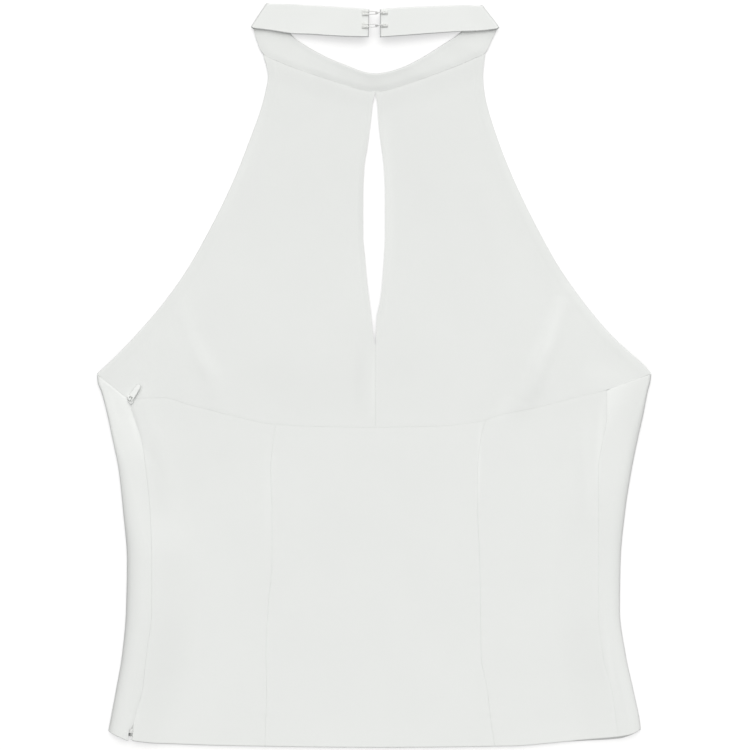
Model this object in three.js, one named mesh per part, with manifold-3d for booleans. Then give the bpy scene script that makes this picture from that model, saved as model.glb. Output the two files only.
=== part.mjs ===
// Halter neck top in off-white crepe, laid flat with its front up.
// One back panel wraps both sides, five front panels lie on it, and a folded neckband
// crosses over itself at each side and closes behind the neck with two hooks and eyes.
// Millimetres: +X to the right of the front, +Y up to the neck, +Z off the surface.

import * as THREE from "three";
import { mergeVertices } from "three/addons/utils/BufferGeometryUtils.js";
import Module from "manifold-3d";

const wasm = await Module();
wasm.setup();

// Walls, gaps and folds
const CLOTH_WALL = 1.4;
const BAND_WALL = 2.2;
const SEAM_HALF_GAP = 0.2;
const BAND_SEAM_GAP = 0.4;
const FOLD_RUN = 40;
const RAMP_START = -2;
const RAMP_END = 120;

// Rough heights from which the crossings of the seams are found
const HEM_Y = -267;
const UNDERBUST_Y = -36;
const CROSSING_STEPS = 8;

// Side folds of the body from hem to underarm: their outermost lines, the height of those
// lines, and the gap between the two layers in the middle
const FOLDS = [
  { y: -269.5, foldLeft: -195, foldRight: 194.5, edge: 2.5, gap: 1 },
  { y: -250, foldLeft: -191.2, foldRight: 192.4, edge: 2.4, gap: 0.7 },
  { y: -228.5, foldLeft: -187.2, foldRight: 187.9, edge: 2.3, gap: 0.6 },
  { y: -203, foldLeft: -182.8, foldRight: 182.4, edge: 2.3, gap: 0.5 },
  { y: -170.5, foldLeft: -179.9, foldRight: 178.1, edge: 2.3, gap: 0.5 },
  { y: -134, foldLeft: -179.2, foldRight: 178.7, edge: 2.3, gap: 0.5 },
  { y: -98, foldLeft: -182.1, foldRight: 182.1, edge: 2.4, gap: 0.6 },
  { y: -69, foldLeft: -185.2, foldRight: 186.6, edge: 2.5, gap: 0.6 },
  { y: -47, foldLeft: -189.6, foldRight: 191, edge: 2.7, gap: 0.7 },
  { y: -29, foldLeft: -193.4, foldRight: 195, edge: 2.8, gap: 0.7 },
  { y: -11, foldLeft: -198.2, foldRight: 198.5, edge: 2.9, gap: 0.7 },
  { y: -6.5, foldLeft: -200.2, foldRight: 199.8, edge: 2.9, gap: 0.7 },
  { y: 1, foldLeft: -201, foldRight: 201, edge: 2.9, gap: 0.7 },
];

// Crests of the two side folds: how high each rises, and how far inside the fold's line it lies
const CRESTS = [
  { y: -269.5, riseLeft: 8.2, riseRight: 6, runLeft: 12, runRight: 8.5 },
  { y: -250, riseLeft: 8.2, riseRight: 6, runLeft: 12, runRight: 8.5 },
  { y: -228.5, riseLeft: 8.4, riseRight: 6, runLeft: 12.5, runRight: 8.5 },
  { y: -203, riseLeft: 8.9, riseRight: 6.2, runLeft: 13.5, runRight: 9.5 },
  { y: -170.5, riseLeft: 9.4, riseRight: 6.5, runLeft: 14, runRight: 10.5 },
  { y: -134, riseLeft: 9.2, riseRight: 6.9, runLeft: 14, runRight: 11 },
  { y: -98, riseLeft: 7.4, riseRight: 7.3, runLeft: 11, runRight: 11 },
  { y: -69, riseLeft: 6, riseRight: 7.1, runLeft: 7.5, runRight: 9.5 },
  { y: -47, riseLeft: 5, riseRight: 6.7, runLeft: 3.5, runRight: 7.5 },
  { y: -29, riseLeft: 4.9, riseRight: 6.3, runLeft: 2.8, runRight: 5 },
  { y: -11, riseLeft: 5, riseRight: 5.8, runLeft: 2.4, runRight: 3 },
  { y: 1, riseLeft: 5, riseRight: 5.8, runLeft: 2.4, runRight: 3 },
];

// Seams that run up the layer that faces up, from hem to underarm
const SEAMS = [
  { y: -269.5, sideLeft: -176, princessLeft: -79, princessRight: 87.5, sideRight: 177 },
  { y: -250, sideLeft: -173.5, princessLeft: -78.5, princessRight: 84.5, sideRight: 175 },
  { y: -228.5, sideLeft: -167.5, princessLeft: -78, princessRight: 82, sideRight: 172 },
  { y: -203, sideLeft: -164.5, princessLeft: -78.5, princessRight: 77.5, sideRight: 165.5 },
  { y: -170.5, sideLeft: -160.5, princessLeft: -77, princessRight: 77, sideRight: 162 },
  { y: -134, sideLeft: -160.5, princessLeft: -74, princessRight: 76.5, sideRight: 162 },
  { y: -98, sideLeft: -162, princessLeft: -74, princessRight: 75, sideRight: 162 },
  { y: -69, sideLeft: -165, princessLeft: -75, princessRight: 75, sideRight: 162 },
  { y: -47, sideLeft: -168.5, princessLeft: -73, princessRight: 77, sideRight: 165.5 },
  { y: -29, sideLeft: -174.5, princessLeft: -70, princessRight: 81.5, sideRight: 168.5 },
  { y: -11, sideLeft: -180, princessLeft: -68, princessRight: 84, sideRight: 168.5 },
  { y: 1, sideLeft: -180, princessLeft: -68, princessRight: 84, sideRight: 168.5 },
];

// Hem of the layer that faces up, and of the back panel below it
const FRONT_HEM = [
  { x: -196, y: -256.5 },
  { x: -186.5, y: -260.5 },
  { x: -174, y: -264.5 },
  { x: -155, y: -267 },
  { x: -92.5, y: -269 },
  { x: 0, y: -270 },
  { x: 101, y: -269 },
  { x: 126.5, y: -267 },
  { x: 151.5, y: -264.5 },
  { x: 172, y: -262.5 },
  { x: 184, y: -260.5 },
  { x: 195, y: -256.5 },
];
const BACK_HEM = [
  { x: -196, y: -256.5 },
  { x: -180, y: -261.5 },
  { x: -155, y: -265.5 },
  { x: -92.5, y: -267.5 },
  { x: 0, y: -268.5 },
  { x: 101, y: -268 },
  { x: 151.5, y: -265.5 },
  { x: 176.5, y: -264 },
  { x: 185.5, y: -261.5 },
  { x: 195, y: -256.5 },
];

// Back panel's top edge, hidden under the front: level at the underarms and lowest in the middle
const BACK_TOP = [
  { x: -201, y: 0.1 },
  { x: -120, y: -8 },
  { x: 0, y: -12.5 },
  { x: 120, y: -8 },
  { x: 201, y: 0.5 },
];

// Underbust seam between the tops of the two side seams, and the underarm corners
const SIDE_TOP_LEFT = { x: -178, y: -17.5 };
const SIDE_TOP_RIGHT = { x: 168.5, y: -11 };
const UNDERARM_LEFT = { x: -200.5, y: 0.5 };
const UNDERARM_RIGHT = { x: 200.5, y: 1 };
const UNDERBUST = [
  { x: -178, y: -17.5 },
  { x: -152.5, y: -16.5 },
  { x: -136, y: -21 },
  { x: -105, y: -29 },
  { x: -75, y: -35.5 },
  { x: -40, y: -37.5 },
  { x: 1, y: -38 },
  { x: 48, y: -37 },
  { x: 75.5, y: -34 },
  { x: 91.5, y: -29 },
  { x: 118.5, y: -23.5 },
  { x: 149.5, y: -15.5 },
  { x: 168.5, y: -11 },
];

// Armhole edges from the underarm up to the neckband
const ARMHOLE = [
  { y: 1, left: -200.5, right: 200.5 },
  { y: 4, left: -197.2, right: 198 },
  { y: 8, left: -192.9, right: 194.3 },
  { y: 19.5, left: -181.3, right: 181.3 },
  { y: 31, left: -170.6, right: 169.7 },
  { y: 54, left: -151.3, right: 150.9 },
  { y: 77.5, left: -135, right: 134.5 },
  { y: 100.5, left: -122, right: 121.5 },
  { y: 124, left: -110, right: 109.5 },
  { y: 147, left: -99.5, right: 99 },
  { y: 170, left: -90.5, right: 90 },
  { y: 193.5, left: -82, right: 82.5 },
  { y: 205, left: -79, right: 80 },
  { y: 216.5, left: -77, right: 79 },
  { y: 233, left: -80.5, right: 80.5 },
];

// Keyhole in the middle of the front, from its foot up to the neckband
const CENTRE_FRONT = 1;
const KEYHOLE_FOOT = 21.5;
const KEYHOLE = [
  { y: 21.5, left: 0.8, right: 1.2 },
  { y: 32, left: -1, right: 1.4 },
  { y: 42.5, left: -2, right: 2 },
  { y: 54, left: -3.5, right: 4.5 },
  { y: 66.5, left: -5, right: 6 },
  { y: 89, left: -7, right: 7.5 },
  { y: 100.5, left: -8, right: 8 },
  { y: 129.5, left: -8, right: 8 },
  { y: 152.5, left: -7, right: 7 },
  { y: 164.5, left: -5, right: 5.5 },
  { y: 176, left: -3.5, right: 4 },
  { y: 186, left: -2.2, right: 3 },
  { y: 206, left: 0, right: 1.8 },
];

// Front of the neckband from one side fold to the other: the edge that is sewn to the
// front panels, the free edge, and how far the free edge stands up
const BAND_FRONT = [
  { seamX: -87.5, seamY: 250.9, freeX: -75.7, freeY: 268.6, lift: 0 },
  { seamX: -85, seamY: 242, freeX: -69.5, freeY: 259.5, lift: 0 },
  { seamX: -80.5, seamY: 233, freeX: -63, freeY: 250.5, lift: 0 },
  { seamX: -69, seamY: 227, freeX: -56.5, freeY: 243.5, lift: 0 },
  { seamX: -53.5, seamY: 221, freeX: -45.5, freeY: 236.5, lift: 0.2 },
  { seamX: -38, seamY: 215.8, freeX: -33.5, freeY: 230, lift: 0.7 },
  { seamX: -22, seamY: 210.5, freeX: -20, freeY: 224.5, lift: 1.2 },
  { seamX: -9.5, seamY: 206.7, freeX: -8.5, freeY: 220, lift: 1.6 },
  { seamX: 1, seamY: 205.5, freeX: 1, freeY: 218.5, lift: 1.8 },
  { seamX: 12, seamY: 207.2, freeX: 11, freeY: 220, lift: 1.6 },
  { seamX: 27, seamY: 212, freeX: 23, freeY: 224, lift: 1.2 },
  { seamX: 46, seamY: 218.8, freeX: 37, freeY: 231.5, lift: 0.7 },
  { seamX: 61, seamY: 224.5, freeX: 49.5, freeY: 239.5, lift: 0.2 },
  { seamX: 72, seamY: 229.3, freeX: 59.5, freeY: 246, lift: 0 },
  { seamX: 80.5, seamY: 233.5, freeX: 66, freeY: 252, lift: 0 },
  { seamX: 85, seamY: 242, freeX: 71, freeY: 259.5, lift: 0 },
  { seamX: 89, seamY: 250.4, freeX: 76, freeY: 267, lift: 0 },
];
const BAND_CORNER_LEFT = 2;
const BAND_MIDDLE = 8;
const BAND_CORNER_RIGHT = 14;

// The two back ends of the neckband, from the side fold to the closure
const BAND_BACK_LEFT = [
  { seamX: -87.5, seamY: 250.9, freeX: -75.7, freeY: 268.6 },
  { seamX: -75, seamY: 249.4, freeX: -60.5, freeY: 268.4 },
  { seamX: -59, seamY: 246.9, freeX: -46, freeY: 267.4 },
  { seamX: -46, seamY: 246.2, freeX: -31.5, freeY: 266.4 },
  { seamX: -31.5, seamY: 245, freeX: -19, freeY: 265.3 },
  { seamX: -17, seamY: 244.2, freeX: -10.5, freeY: 264.7 },
  { seamX: -4, seamY: 244, freeX: -3.5, freeY: 264.1 },
];
const BAND_BACK_RIGHT = [
  { seamX: 89, seamY: 250.4, freeX: 76, freeY: 267 },
  { seamX: 77, seamY: 249, freeX: 66, freeY: 267.5 },
  { seamX: 61, seamY: 248.3, freeX: 53, freeY: 267.1 },
  { seamX: 41, seamY: 246.7, freeX: 37, freeY: 266.3 },
  { seamX: 21, seamY: 245, freeX: 20, freeY: 265.3 },
  { seamX: 4.2, seamY: 243.8, freeX: 4.2, freeY: 264.1 },
];
const BAND_FRONT_MIDDLE_Z = BAND_WALL / 2;
const BAND_FOLD_RADIUS = 1.4;
const BAND_BACK_MIDDLE_Z = BAND_FRONT_MIDDLE_Z + 2 * BAND_FOLD_RADIUS;
const BAND_END_MIDDLE_Z = 7.2;
const BAND_END_RISE = { start: 0.15, end: 0.9 };

// Largest creases of the bust, raised in the front layer
const CREASES = [
  {
    height: 1.7,
    halfWidth: 6.5,
    path: [[138, 58], [130.5, 36], [127, 24], [120, 8], [115.5, -8], [108, -21]],
  },
  {
    height: 0.9,
    halfWidth: 6,
    path: [[-139, 50], [-134.5, 31], [-126.5, 14], [-118.5, -1], [-117, -20]],
  },
];

// Share of a crease's length that is level at each tip
const CREASE_TIP = 0.02;

// Zip in the left side seam: tape, slider at its top and pull tab
const ZIP_HOUSE = { height: 3.05, flat: 8, end: 18 };
const TAPE = { halfWidth: 6, wall: 0.9, below: 0.4, top: -20.5, foot: -259 };
const TAPE_STEPS = 18;
const TAPE_COLUMNS = 4;
const SLIDER = { x: -176.5, y: -17.6, width: 3.4, length: 7, wall: 0.8, seamAngle: 106 };
const BRIDGE = { width: 1.4, outerRadius: 1.4, innerRadius: 0.8 };
const PULL = { angle: 56, width: 4, arm: 0.8, ring: 2.1, length: 12.5, tipWidth: 3.2 };
const PIN = { radius: 0.45, clearance: 0.5 };
const RUNNING_GAP = 0.3;

// Hooks and eyes that close the band behind the neck
const CLOSURES = [
  { name: "upper", y: 261.2 },
  { name: "lower", y: 252 },
];
const WIRE_RADIUS = 0.45;
const WIRE_SIDES = 6;
const EYE_STEPS = 22;
const HOOK_STEPS = 20;
const HOOK_CLEARANCE = 2 * WIRE_RADIUS + 0.35;

// Half of an eye's loop from its foot to its bar, and a hook from its foot round the bar.
// climb is a share of the clearance between the hook and the bar.
const EYE_HALF = [
  { x: -8.5, y: 0.525 },
  { x: -7.1, y: 1.5 },
  { x: -1, y: 1.5 },
  { x: 1.7, y: 1.35 },
  { x: 2.2, y: 0.45 },
];
const HOOK_PATH = [
  { x: 9.5, climb: 0 },
  { x: 7, climb: 0 },
  { x: 4.8, climb: 0.8 },
  { x: 2.2, climb: 1 },
  { x: 1.26, climb: 0.7 },
  { x: 0.95, climb: 0 },
  { x: 1.26, climb: -0.75 },
  { x: 2.2, climb: -1 },
  { x: 3.2, climb: -1 },
];

// Grid steps
const BACK_BOTTOM_STEPS = 12;
const BEND_STEPS = 12;
const WRAP_STEPS = 4;
const BODY_ROWS = 14;
const SIDE_TOP_ROWS = 3;
const CENTRE_ROWS = 6;
const KEYHOLE_ROWS = 18;
const LEFT_COLUMNS = { corner: 3, side: 10, centre: 5 };
const RIGHT_COLUMNS = { corner: 3, side: 14, centre: 5 };
const BAND_WIDTH_STEPS = 3;
const BAND_SIDE_STEPS = 4;
const BAND_FOLD_STEPS = 8;
const BAND_BACK_STEPS = 12;
const ARC_STEPS = 8;
const MERGE_DISTANCE = 1e-4;

// A value that eases from 0 at the start to 1 at the end
function ease(value, start, end) {
  return THREE.MathUtils.smoothstep(value, start, end);
}

// A smooth curve through the rows of a table, one column as a function of another, without overshoot
function smoothColumn(rows, from, to) {
  const xs = rows.map((row) => row[from]);
  const ys = rows.map((row) => row[to]);
  const last = xs.length - 1;
  const steps = xs.slice(1).map((x, i) => (ys[i + 1] - ys[i]) / (x - xs[i]));
  const slopes = xs.map((x, i) => {
    if (i === 0) return steps[0];
    if (i === last) return steps[last - 1];
    const product = steps[i - 1] * steps[i];
    return product <= 0 ? 0 : (2 * product) / (steps[i - 1] + steps[i]);
  });
  return (x) => {
    let i = 0;
    while (i < last - 1 && x > xs[i + 1]) i += 1;
    const width = xs[i + 1] - xs[i];
    const t = THREE.MathUtils.clamp((x - xs[i]) / width, 0, 1);
    const rise = t * t * (3 - 2 * t);
    const lead = slopes[i] * width * t * (1 - t) * (1 - t);
    const tail = slopes[i + 1] * width * t * t * (1 - t);
    return ys[i] * (1 - rise) + ys[i + 1] * rise + lead - tail;
  };
}

// Every column of a table as a smooth function of its height
function columnsByHeight(rows) {
  const names = Object.keys(rows[0]).filter((column) => column !== "y");
  return Object.fromEntries(names.map((column) => [column, smoothColumn(rows, "y", column)]));
}

// Named curves of the body
const folds = columnsByHeight(FOLDS);
const crests = columnsByHeight(CRESTS);
const seams = columnsByHeight(SEAMS);
const frontHem = smoothColumn(FRONT_HEM, "x", "y");
const backHem = smoothColumn(BACK_HEM, "x", "y");
const backTop = smoothColumn(BACK_TOP, "x", "y");
const underbustMiddle = smoothColumn(UNDERBUST, "x", "y");

// A straight line between two corners, y as a function of x
function lineY(a, b, x) {
  return a.y + ((b.y - a.y) * (x - a.x)) / (b.x - a.x);
}

// The seam under the bust, and its straight runs out to the underarm corners
function underbust(x) {
  if (x < SIDE_TOP_LEFT.x) return lineY(UNDERARM_LEFT, SIDE_TOP_LEFT, x);
  if (x > SIDE_TOP_RIGHT.x) return lineY(SIDE_TOP_RIGHT, UNDERARM_RIGHT, x);
  return underbustMiddle(x);
}

// Where a side fold's crest lies. side is -1 on the left and 1 on the right.
function crestX(side, y) {
  return side < 0 ? folds.foldLeft(y) + crests.runLeft(y) : folds.foldRight(y) - crests.runRight(y);
}

// Distance from a point to a path, and the share of the path that lies before it
function nearestOnPath(path, x, y) {
  const point = new THREE.Vector2(x, y);
  const lengths = path.slice(1).map((p, i) => Math.hypot(p[0] - path[i][0], p[1] - path[i][1]));
  const total = lengths.reduce((sum, length) => sum + length, 0);
  let before = 0;
  let best = { distance: Infinity, share: 0 };
  lengths.forEach((length, i) => {
    const start = new THREE.Vector2(...path[i]);
    const along = new THREE.Vector2(...path[i + 1]).sub(start).divideScalar(length);
    const reach = THREE.MathUtils.clamp(point.clone().sub(start).dot(along), 0, length);
    const distance = start.addScaledVector(along, reach).distanceTo(point);
    if (distance < best.distance) best = { distance, share: (before + reach) / total };
    before += length;
  });
  return best;
}

// How far the creases lift the cloth at a point
function creaseLift(x, y) {
  return CREASES.reduce((sum, crease) => {
    const { distance, share } = nearestOnPath(crease.path, x, y);
    const place = THREE.MathUtils.clamp(share, CREASE_TIP, 1 - CREASE_TIP);
    const fade = Math.sqrt(Math.sin(Math.PI * place));
    return sum + crease.height * fade * Math.exp(-((distance / crease.halfWidth) ** 2));
  }, 0);
}

// Underside of the layer that faces up: it rises to the side folds and over the zip,
// and comes down to the surface above the back panel's top edge
function layerUnderside(x, y) {
  const middle = CLOTH_WALL + folds.gap(y);
  const nearLeft = 1 - ease(x - crestX(-1, y), 0, FOLD_RUN);
  const nearRight = 1 - ease(crestX(1, y) - x, 0, FOLD_RUN);
  const toLeft = crests.riseLeft(y) - CLOTH_WALL - middle;
  const toRight = crests.riseRight(y) - CLOTH_WALL - middle;
  const open = middle + toLeft * nearLeft + toRight * nearRight;
  const overZip = 1 - ease(Math.abs(x - seams.sideLeft(y)), ZIP_HOUSE.flat, ZIP_HOUSE.end);
  const housed = open + Math.max(0, ZIP_HOUSE.height - open) * overZip;
  return housed * (1 - ease(y, RAMP_START, RAMP_END)) + creaseLift(x, y);
}

// A closed wall between two grids of points, each a list of rows of [x, y, z]
function wallBetween(outer, inner) {
  const rows = outer.length;
  const columns = outer[0].length;
  const positions = [...outer.flat(), ...inner.flat()].flat();
  const outerAt = (i, j) => i * columns + j;
  const innerAt = (i, j) => rows * columns + i * columns + j;
  const index = [];
  const quad = (a, b, c, d) => index.push(a, b, c, a, c, d);
  for (let i = 0; i < rows - 1; i += 1) {
    for (let j = 0; j < columns - 1; j += 1) {
      quad(outerAt(i, j), outerAt(i, j + 1), outerAt(i + 1, j + 1), outerAt(i + 1, j));
      quad(innerAt(i, j), innerAt(i + 1, j), innerAt(i + 1, j + 1), innerAt(i, j + 1));
    }
    quad(outerAt(i, 0), outerAt(i + 1, 0), innerAt(i + 1, 0), innerAt(i, 0));
    const edge = columns - 1;
    quad(outerAt(i, edge), innerAt(i, edge), innerAt(i + 1, edge), outerAt(i + 1, edge));
  }
  for (let j = 0; j < columns - 1; j += 1) {
    quad(outerAt(0, j), innerAt(0, j), innerAt(0, j + 1), outerAt(0, j + 1));
    const end = rows - 1;
    quad(outerAt(end, j), outerAt(end, j + 1), innerAt(end, j + 1), innerAt(end, j));
  }
  const geometry = new THREE.BufferGeometry();
  geometry.setAttribute("position", new THREE.Float32BufferAttribute(positions, 3));
  geometry.setIndex(index);
  return facingOut(geometry);
}

// Turns every face round where a closed geometry holds a negative volume
function facingOut(geometry) {
  const at = geometry.getAttribute("position");
  const index = geometry.getIndex().array;
  const [a, b, c] = [new THREE.Vector3(), new THREE.Vector3(), new THREE.Vector3()];
  let volume = 0;
  for (let i = 0; i < index.length; i += 3) {
    a.fromBufferAttribute(at, index[i]);
    b.fromBufferAttribute(at, index[i + 1]);
    c.fromBufferAttribute(at, index[i + 2]);
    volume += a.dot(b.cross(c));
  }
  if (volume < 0) index.reverse();
  geometry.computeVertexNormals();
  return geometry;
}

// Points inside four edges that meet at their ends, by transfinite interpolation.
// bottom and top run left to right, left and right run upwards, all lists of [x, y].
function patch(bottom, top, left, right) {
  const columns = bottom.length - 1;
  const rows = left.length - 1;
  return left.map((leftPoint, i) =>
    bottom.map((bottomPoint, j) => {
      const u = j / columns;
      const v = i / rows;
      return [0, 1].map((axis) => {
        const across = (1 - u) * leftPoint[axis] + u * right[i][axis];
        const up = (1 - v) * bottomPoint[axis] + v * top[j][axis];
        const lowEnds = (1 - u) * bottom[0][axis] + u * bottom[columns][axis];
        const highEnds = (1 - u) * top[0][axis] + u * top[columns][axis];
        return across + up - (1 - v) * lowEnds - v * highEnds;
      });
    }),
  );
}

// A cloth wall over a plan grid, lying on the underside height of the front layer
function frontPanel(plan) {
  const lower = plan.map((row) => row.map(([x, y]) => [x, y, layerUnderside(x, y)]));
  const upper = lower.map((row) => row.map(([x, y, z]) => [x, y, z + CLOTH_WALL]));
  return wallBetween(upper, lower);
}

// count + 1 values from start to end
function spread(start, end, count) {
  return Array.from({ length: count + 1 }, (unused, i) => start + ((end - start) * i) / count);
}

// Joins lists whose ends repeat
function chain(...lists) {
  return lists.reduce((all, list) => [...all, ...list.slice(1)]);
}

// The height at which a seam that runs up the body crosses a curve that runs across it
function crossing(seam, across, guess) {
  let y = guess;
  for (let i = 0; i < CROSSING_STEPS; i += 1) y = across(seam(y));
  return y;
}

// Points of one seam from the hem up to the underbust seam, the same for both its neighbours
function seamPoints(seam, topY) {
  const hemY = crossing(seam, frontHem, HEM_Y);
  return spread(hemY, topY, BODY_ROWS).map((y) => [seam(y), y]);
}

// Side seams and princess seams in the front layer
const sideLeft = seamPoints(seams.sideLeft, SIDE_TOP_LEFT.y);
const sideRight = seamPoints(seams.sideRight, SIDE_TOP_RIGHT.y);
const princessLeft = seamPoints(seams.princessLeft, crossing(seams.princessLeft, underbust, UNDERBUST_Y));
const princessRight = seamPoints(seams.princessRight, crossing(seams.princessRight, underbust, UNDERBUST_Y));

// Stations across the front, shared by the panels above and below the underbust seam
const princessTopLeft = princessLeft[BODY_ROWS][0];
const princessTopRight = princessRight[BODY_ROWS][0];
const stations = {
  cornerLeft: spread(UNDERARM_LEFT.x, SIDE_TOP_LEFT.x, LEFT_COLUMNS.corner),
  sideLeft: spread(SIDE_TOP_LEFT.x, princessTopLeft, LEFT_COLUMNS.side),
  centreLeft: spread(princessTopLeft, CENTRE_FRONT, LEFT_COLUMNS.centre),
  centreRight: spread(CENTRE_FRONT, princessTopRight, RIGHT_COLUMNS.centre),
  sideRight: spread(princessTopRight, SIDE_TOP_RIGHT.x, RIGHT_COLUMNS.side),
  cornerRight: spread(SIDE_TOP_RIGHT.x, UNDERARM_RIGHT.x, RIGHT_COLUMNS.corner),
};

// A lower front panel between two seams, its top edge at the given stations
function lowerFront(leftSeam, rightSeam, topStations) {
  const left = leftSeam.map(([x, y]) => [x + SEAM_HALF_GAP, y]);
  const right = rightSeam.map(([x, y]) => [x - SEAM_HALF_GAP, y]);
  const ends = topStations.map((x) => (x - topStations[0]) / (topStations.at(-1) - topStations[0]));
  const top = ends.map((share, i) => {
    const x = THREE.MathUtils.lerp(left[BODY_ROWS][0], right[BODY_ROWS][0], share);
    return [x, underbust(topStations[i]) - SEAM_HALF_GAP];
  });
  const bottom = ends.map((share) => {
    const x = THREE.MathUtils.lerp(left[0][0], right[0][0], share);
    return [x, frontHem(x)];
  });
  left[0] = bottom[0];
  right[0] = bottom.at(-1);
  left[BODY_ROWS] = top[0];
  right[BODY_ROWS] = top.at(-1);
  return frontPanel(patch(bottom, top, left, right));
}

// The neckband's seam edge in plan, by its place in the table of rows
const bandSeamEdge = new THREE.SplineCurve(BAND_FRONT.map((row) => new THREE.Vector2(row.seamX, row.seamY)));
const bandFreeEdge = new THREE.SplineCurve(BAND_FRONT.map((row) => new THREE.Vector2(row.freeX, row.freeY)));
function bandEdgePoint(curve, place) {
  return curve.getPoint(place / (BAND_FRONT.length - 1));
}

// Top edge of an upper front panel, just under the neckband
function underBand(startPlace, endPlace, count) {
  return spread(startPlace, endPlace, count).map((place) => {
    const edge = bandEdgePoint(bandSeamEdge, place);
    return [edge.x, edge.y - BAND_SEAM_GAP];
  });
}

// Middle edge of an upper front panel: the centre seam and then the keyhole's side
function middleEdge(side, offset, topPoint) {
  const seam = spread(underbust(CENTRE_FRONT) + SEAM_HALF_GAP, KEYHOLE_FOOT, CENTRE_ROWS);
  const opening = spread(KEYHOLE_FOOT, topPoint[1], KEYHOLE_ROWS);
  const keyholeSide = smoothColumn(KEYHOLE, "y", side);
  return [
    ...seam.slice(0, -1).map((y) => [CENTRE_FRONT + offset, y]),
    ...opening.map((y) => [keyholeSide(y), y]),
  ];
}

// Left upper front, from the left armhole to the keyhole
function upperFrontLeft() {
  const across = chain(stations.cornerLeft, stations.sideLeft, stations.centreLeft);
  const bottom = across.map((x) => [x, underbust(x) + SEAM_HALF_GAP]);
  const columns = across.length - 1;
  const top = underBand(BAND_CORNER_LEFT, BAND_MIDDLE, columns);
  const right = middleEdge("left", -SEAM_HALF_GAP, top[columns]);
  bottom[columns] = right[0];
  top[columns] = right.at(-1);
  const armhole = smoothColumn(ARMHOLE, "y", "left");
  const left = spread(bottom[0][1], top[0][1], right.length - 1).map((y) => [armhole(y), y]);
  left[0] = bottom[0];
  left[left.length - 1] = top[0];
  return frontPanel(patch(bottom, top, left, right));
}

// Right upper front, from the keyhole to the right armhole
function upperFrontRight() {
  const across = chain(stations.centreRight, stations.sideRight, stations.cornerRight);
  const bottom = across.map((x) => [x, underbust(x) + SEAM_HALF_GAP]);
  const columns = across.length - 1;
  const top = underBand(BAND_MIDDLE, BAND_CORNER_RIGHT, columns);
  const left = middleEdge("right", SEAM_HALF_GAP, top[0]);
  bottom[0] = left[0];
  top[0] = left.at(-1);
  const armhole = smoothColumn(ARMHOLE, "y", "right");
  const right = spread(bottom[columns][1], top[columns][1], left.length - 1).map((y) => [armhole(y), y]);
  right[0] = bottom[columns];
  right[right.length - 1] = top[columns];
  return frontPanel(patch(bottom, top, left, right));
}

// Where the back panel's wrapped edge runs above the top of a side seam, out to the underarm
function cornerSeam(top, corner, endX, y) {
  const endY = lineY(top, corner, endX);
  const share = THREE.MathUtils.clamp((y - top.y) / (endY - top.y), 0, 1);
  return THREE.MathUtils.lerp(top.x, endX, share);
}

// Rows of the back panel at one station round the girth, from its hem, past the top of
// the side seam, to its top edge
function girthRows(hemY, breakY, topY) {
  return chain(spread(hemY, breakY, BODY_ROWS), spread(breakY, topY, SIDE_TOP_ROWS));
}

// One pair of outer and inner points of a side fold. The turn runs from 0 at the crest to a
// half turn at the surface: a long quarter ellipse over the top, then a round quarter below.
function foldPoint(side, turn, y) {
  const left = side < 0;
  const edge = folds.edge(y);
  const rise = left ? crests.riseLeft(y) : crests.riseRight(y);
  const foldLine = left ? folds.foldLeft(y) : folds.foldRight(y);
  const over = turn < Math.PI / 2;
  const reach = over ? side * (foldLine - crestX(side, y)) : edge;
  const climb = over ? rise - edge : edge;
  const [sine, cosine] = [Math.sin(turn), Math.cos(turn)];
  const x = foldLine - side * reach * (1 - sine);
  const z = edge + climb * cosine;
  const normal = new THREE.Vector2((side * sine) / reach, cosine / climb).setLength(CLOTH_WALL);
  return { outer: [x, y, z], inner: [x - normal.x, y, z - normal.y] };
}

// Half of a wrap: from the side seam on the front layer round the side fold to the underside
function wrapColumns(side) {
  const left = side < 0;
  const sideTop = left ? SIDE_TOP_LEFT : SIDE_TOP_RIGHT;
  const corner = left ? UNDERARM_LEFT : UNDERARM_RIGHT;
  const seam = left ? seams.sideLeft : seams.sideRight;
  const hemLevel = FRONT_HEM[0].y;
  const edgeTop = backTop(corner.x);
  const cornerX = crestX(side, edgeTop) - (side * CLOTH_WALL) / 2;
  const topAt = (x) => Math.min(edgeTop, lineY(sideTop, corner, x) - 2 * SEAM_HALF_GAP);
  const columns = [];
  spread(0, 1, WRAP_STEPS).forEach((share) => {
    const hemX = THREE.MathUtils.lerp(seam(hemLevel), crestX(side, hemLevel), share);
    const topX = THREE.MathUtils.lerp(cornerX, crestX(side, edgeTop), share);
    columns.push(
      girthRows(frontHem(hemX), sideTop.y, topAt(topX)).map((y, i) => {
        const edge = i <= BODY_ROWS ? seam(y) : cornerSeam(sideTop, corner, cornerX, y);
        const x = THREE.MathUtils.lerp(edge + side * SEAM_HALF_GAP, crestX(side, y), share);
        const z = layerUnderside(x, y);
        return { outer: [x, y, z + CLOTH_WALL], inner: [x, y, z] };
      }),
    );
  });
  spread(0, Math.PI, BEND_STEPS)
    .slice(1, -1)
    .forEach((turn) => {
      const over = turn < Math.PI / 2;
      const xAt = (y) => foldPoint(side, turn, y).outer[0];
      const hemY = over ? frontHem(xAt(hemLevel)) : backHem(xAt(hemLevel));
      const topY = over ? topAt(xAt(edgeTop)) : edgeTop;
      columns.push(girthRows(hemY, sideTop.y, topY).map((y) => foldPoint(side, turn, y)));
    });
  return columns;
}

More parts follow.
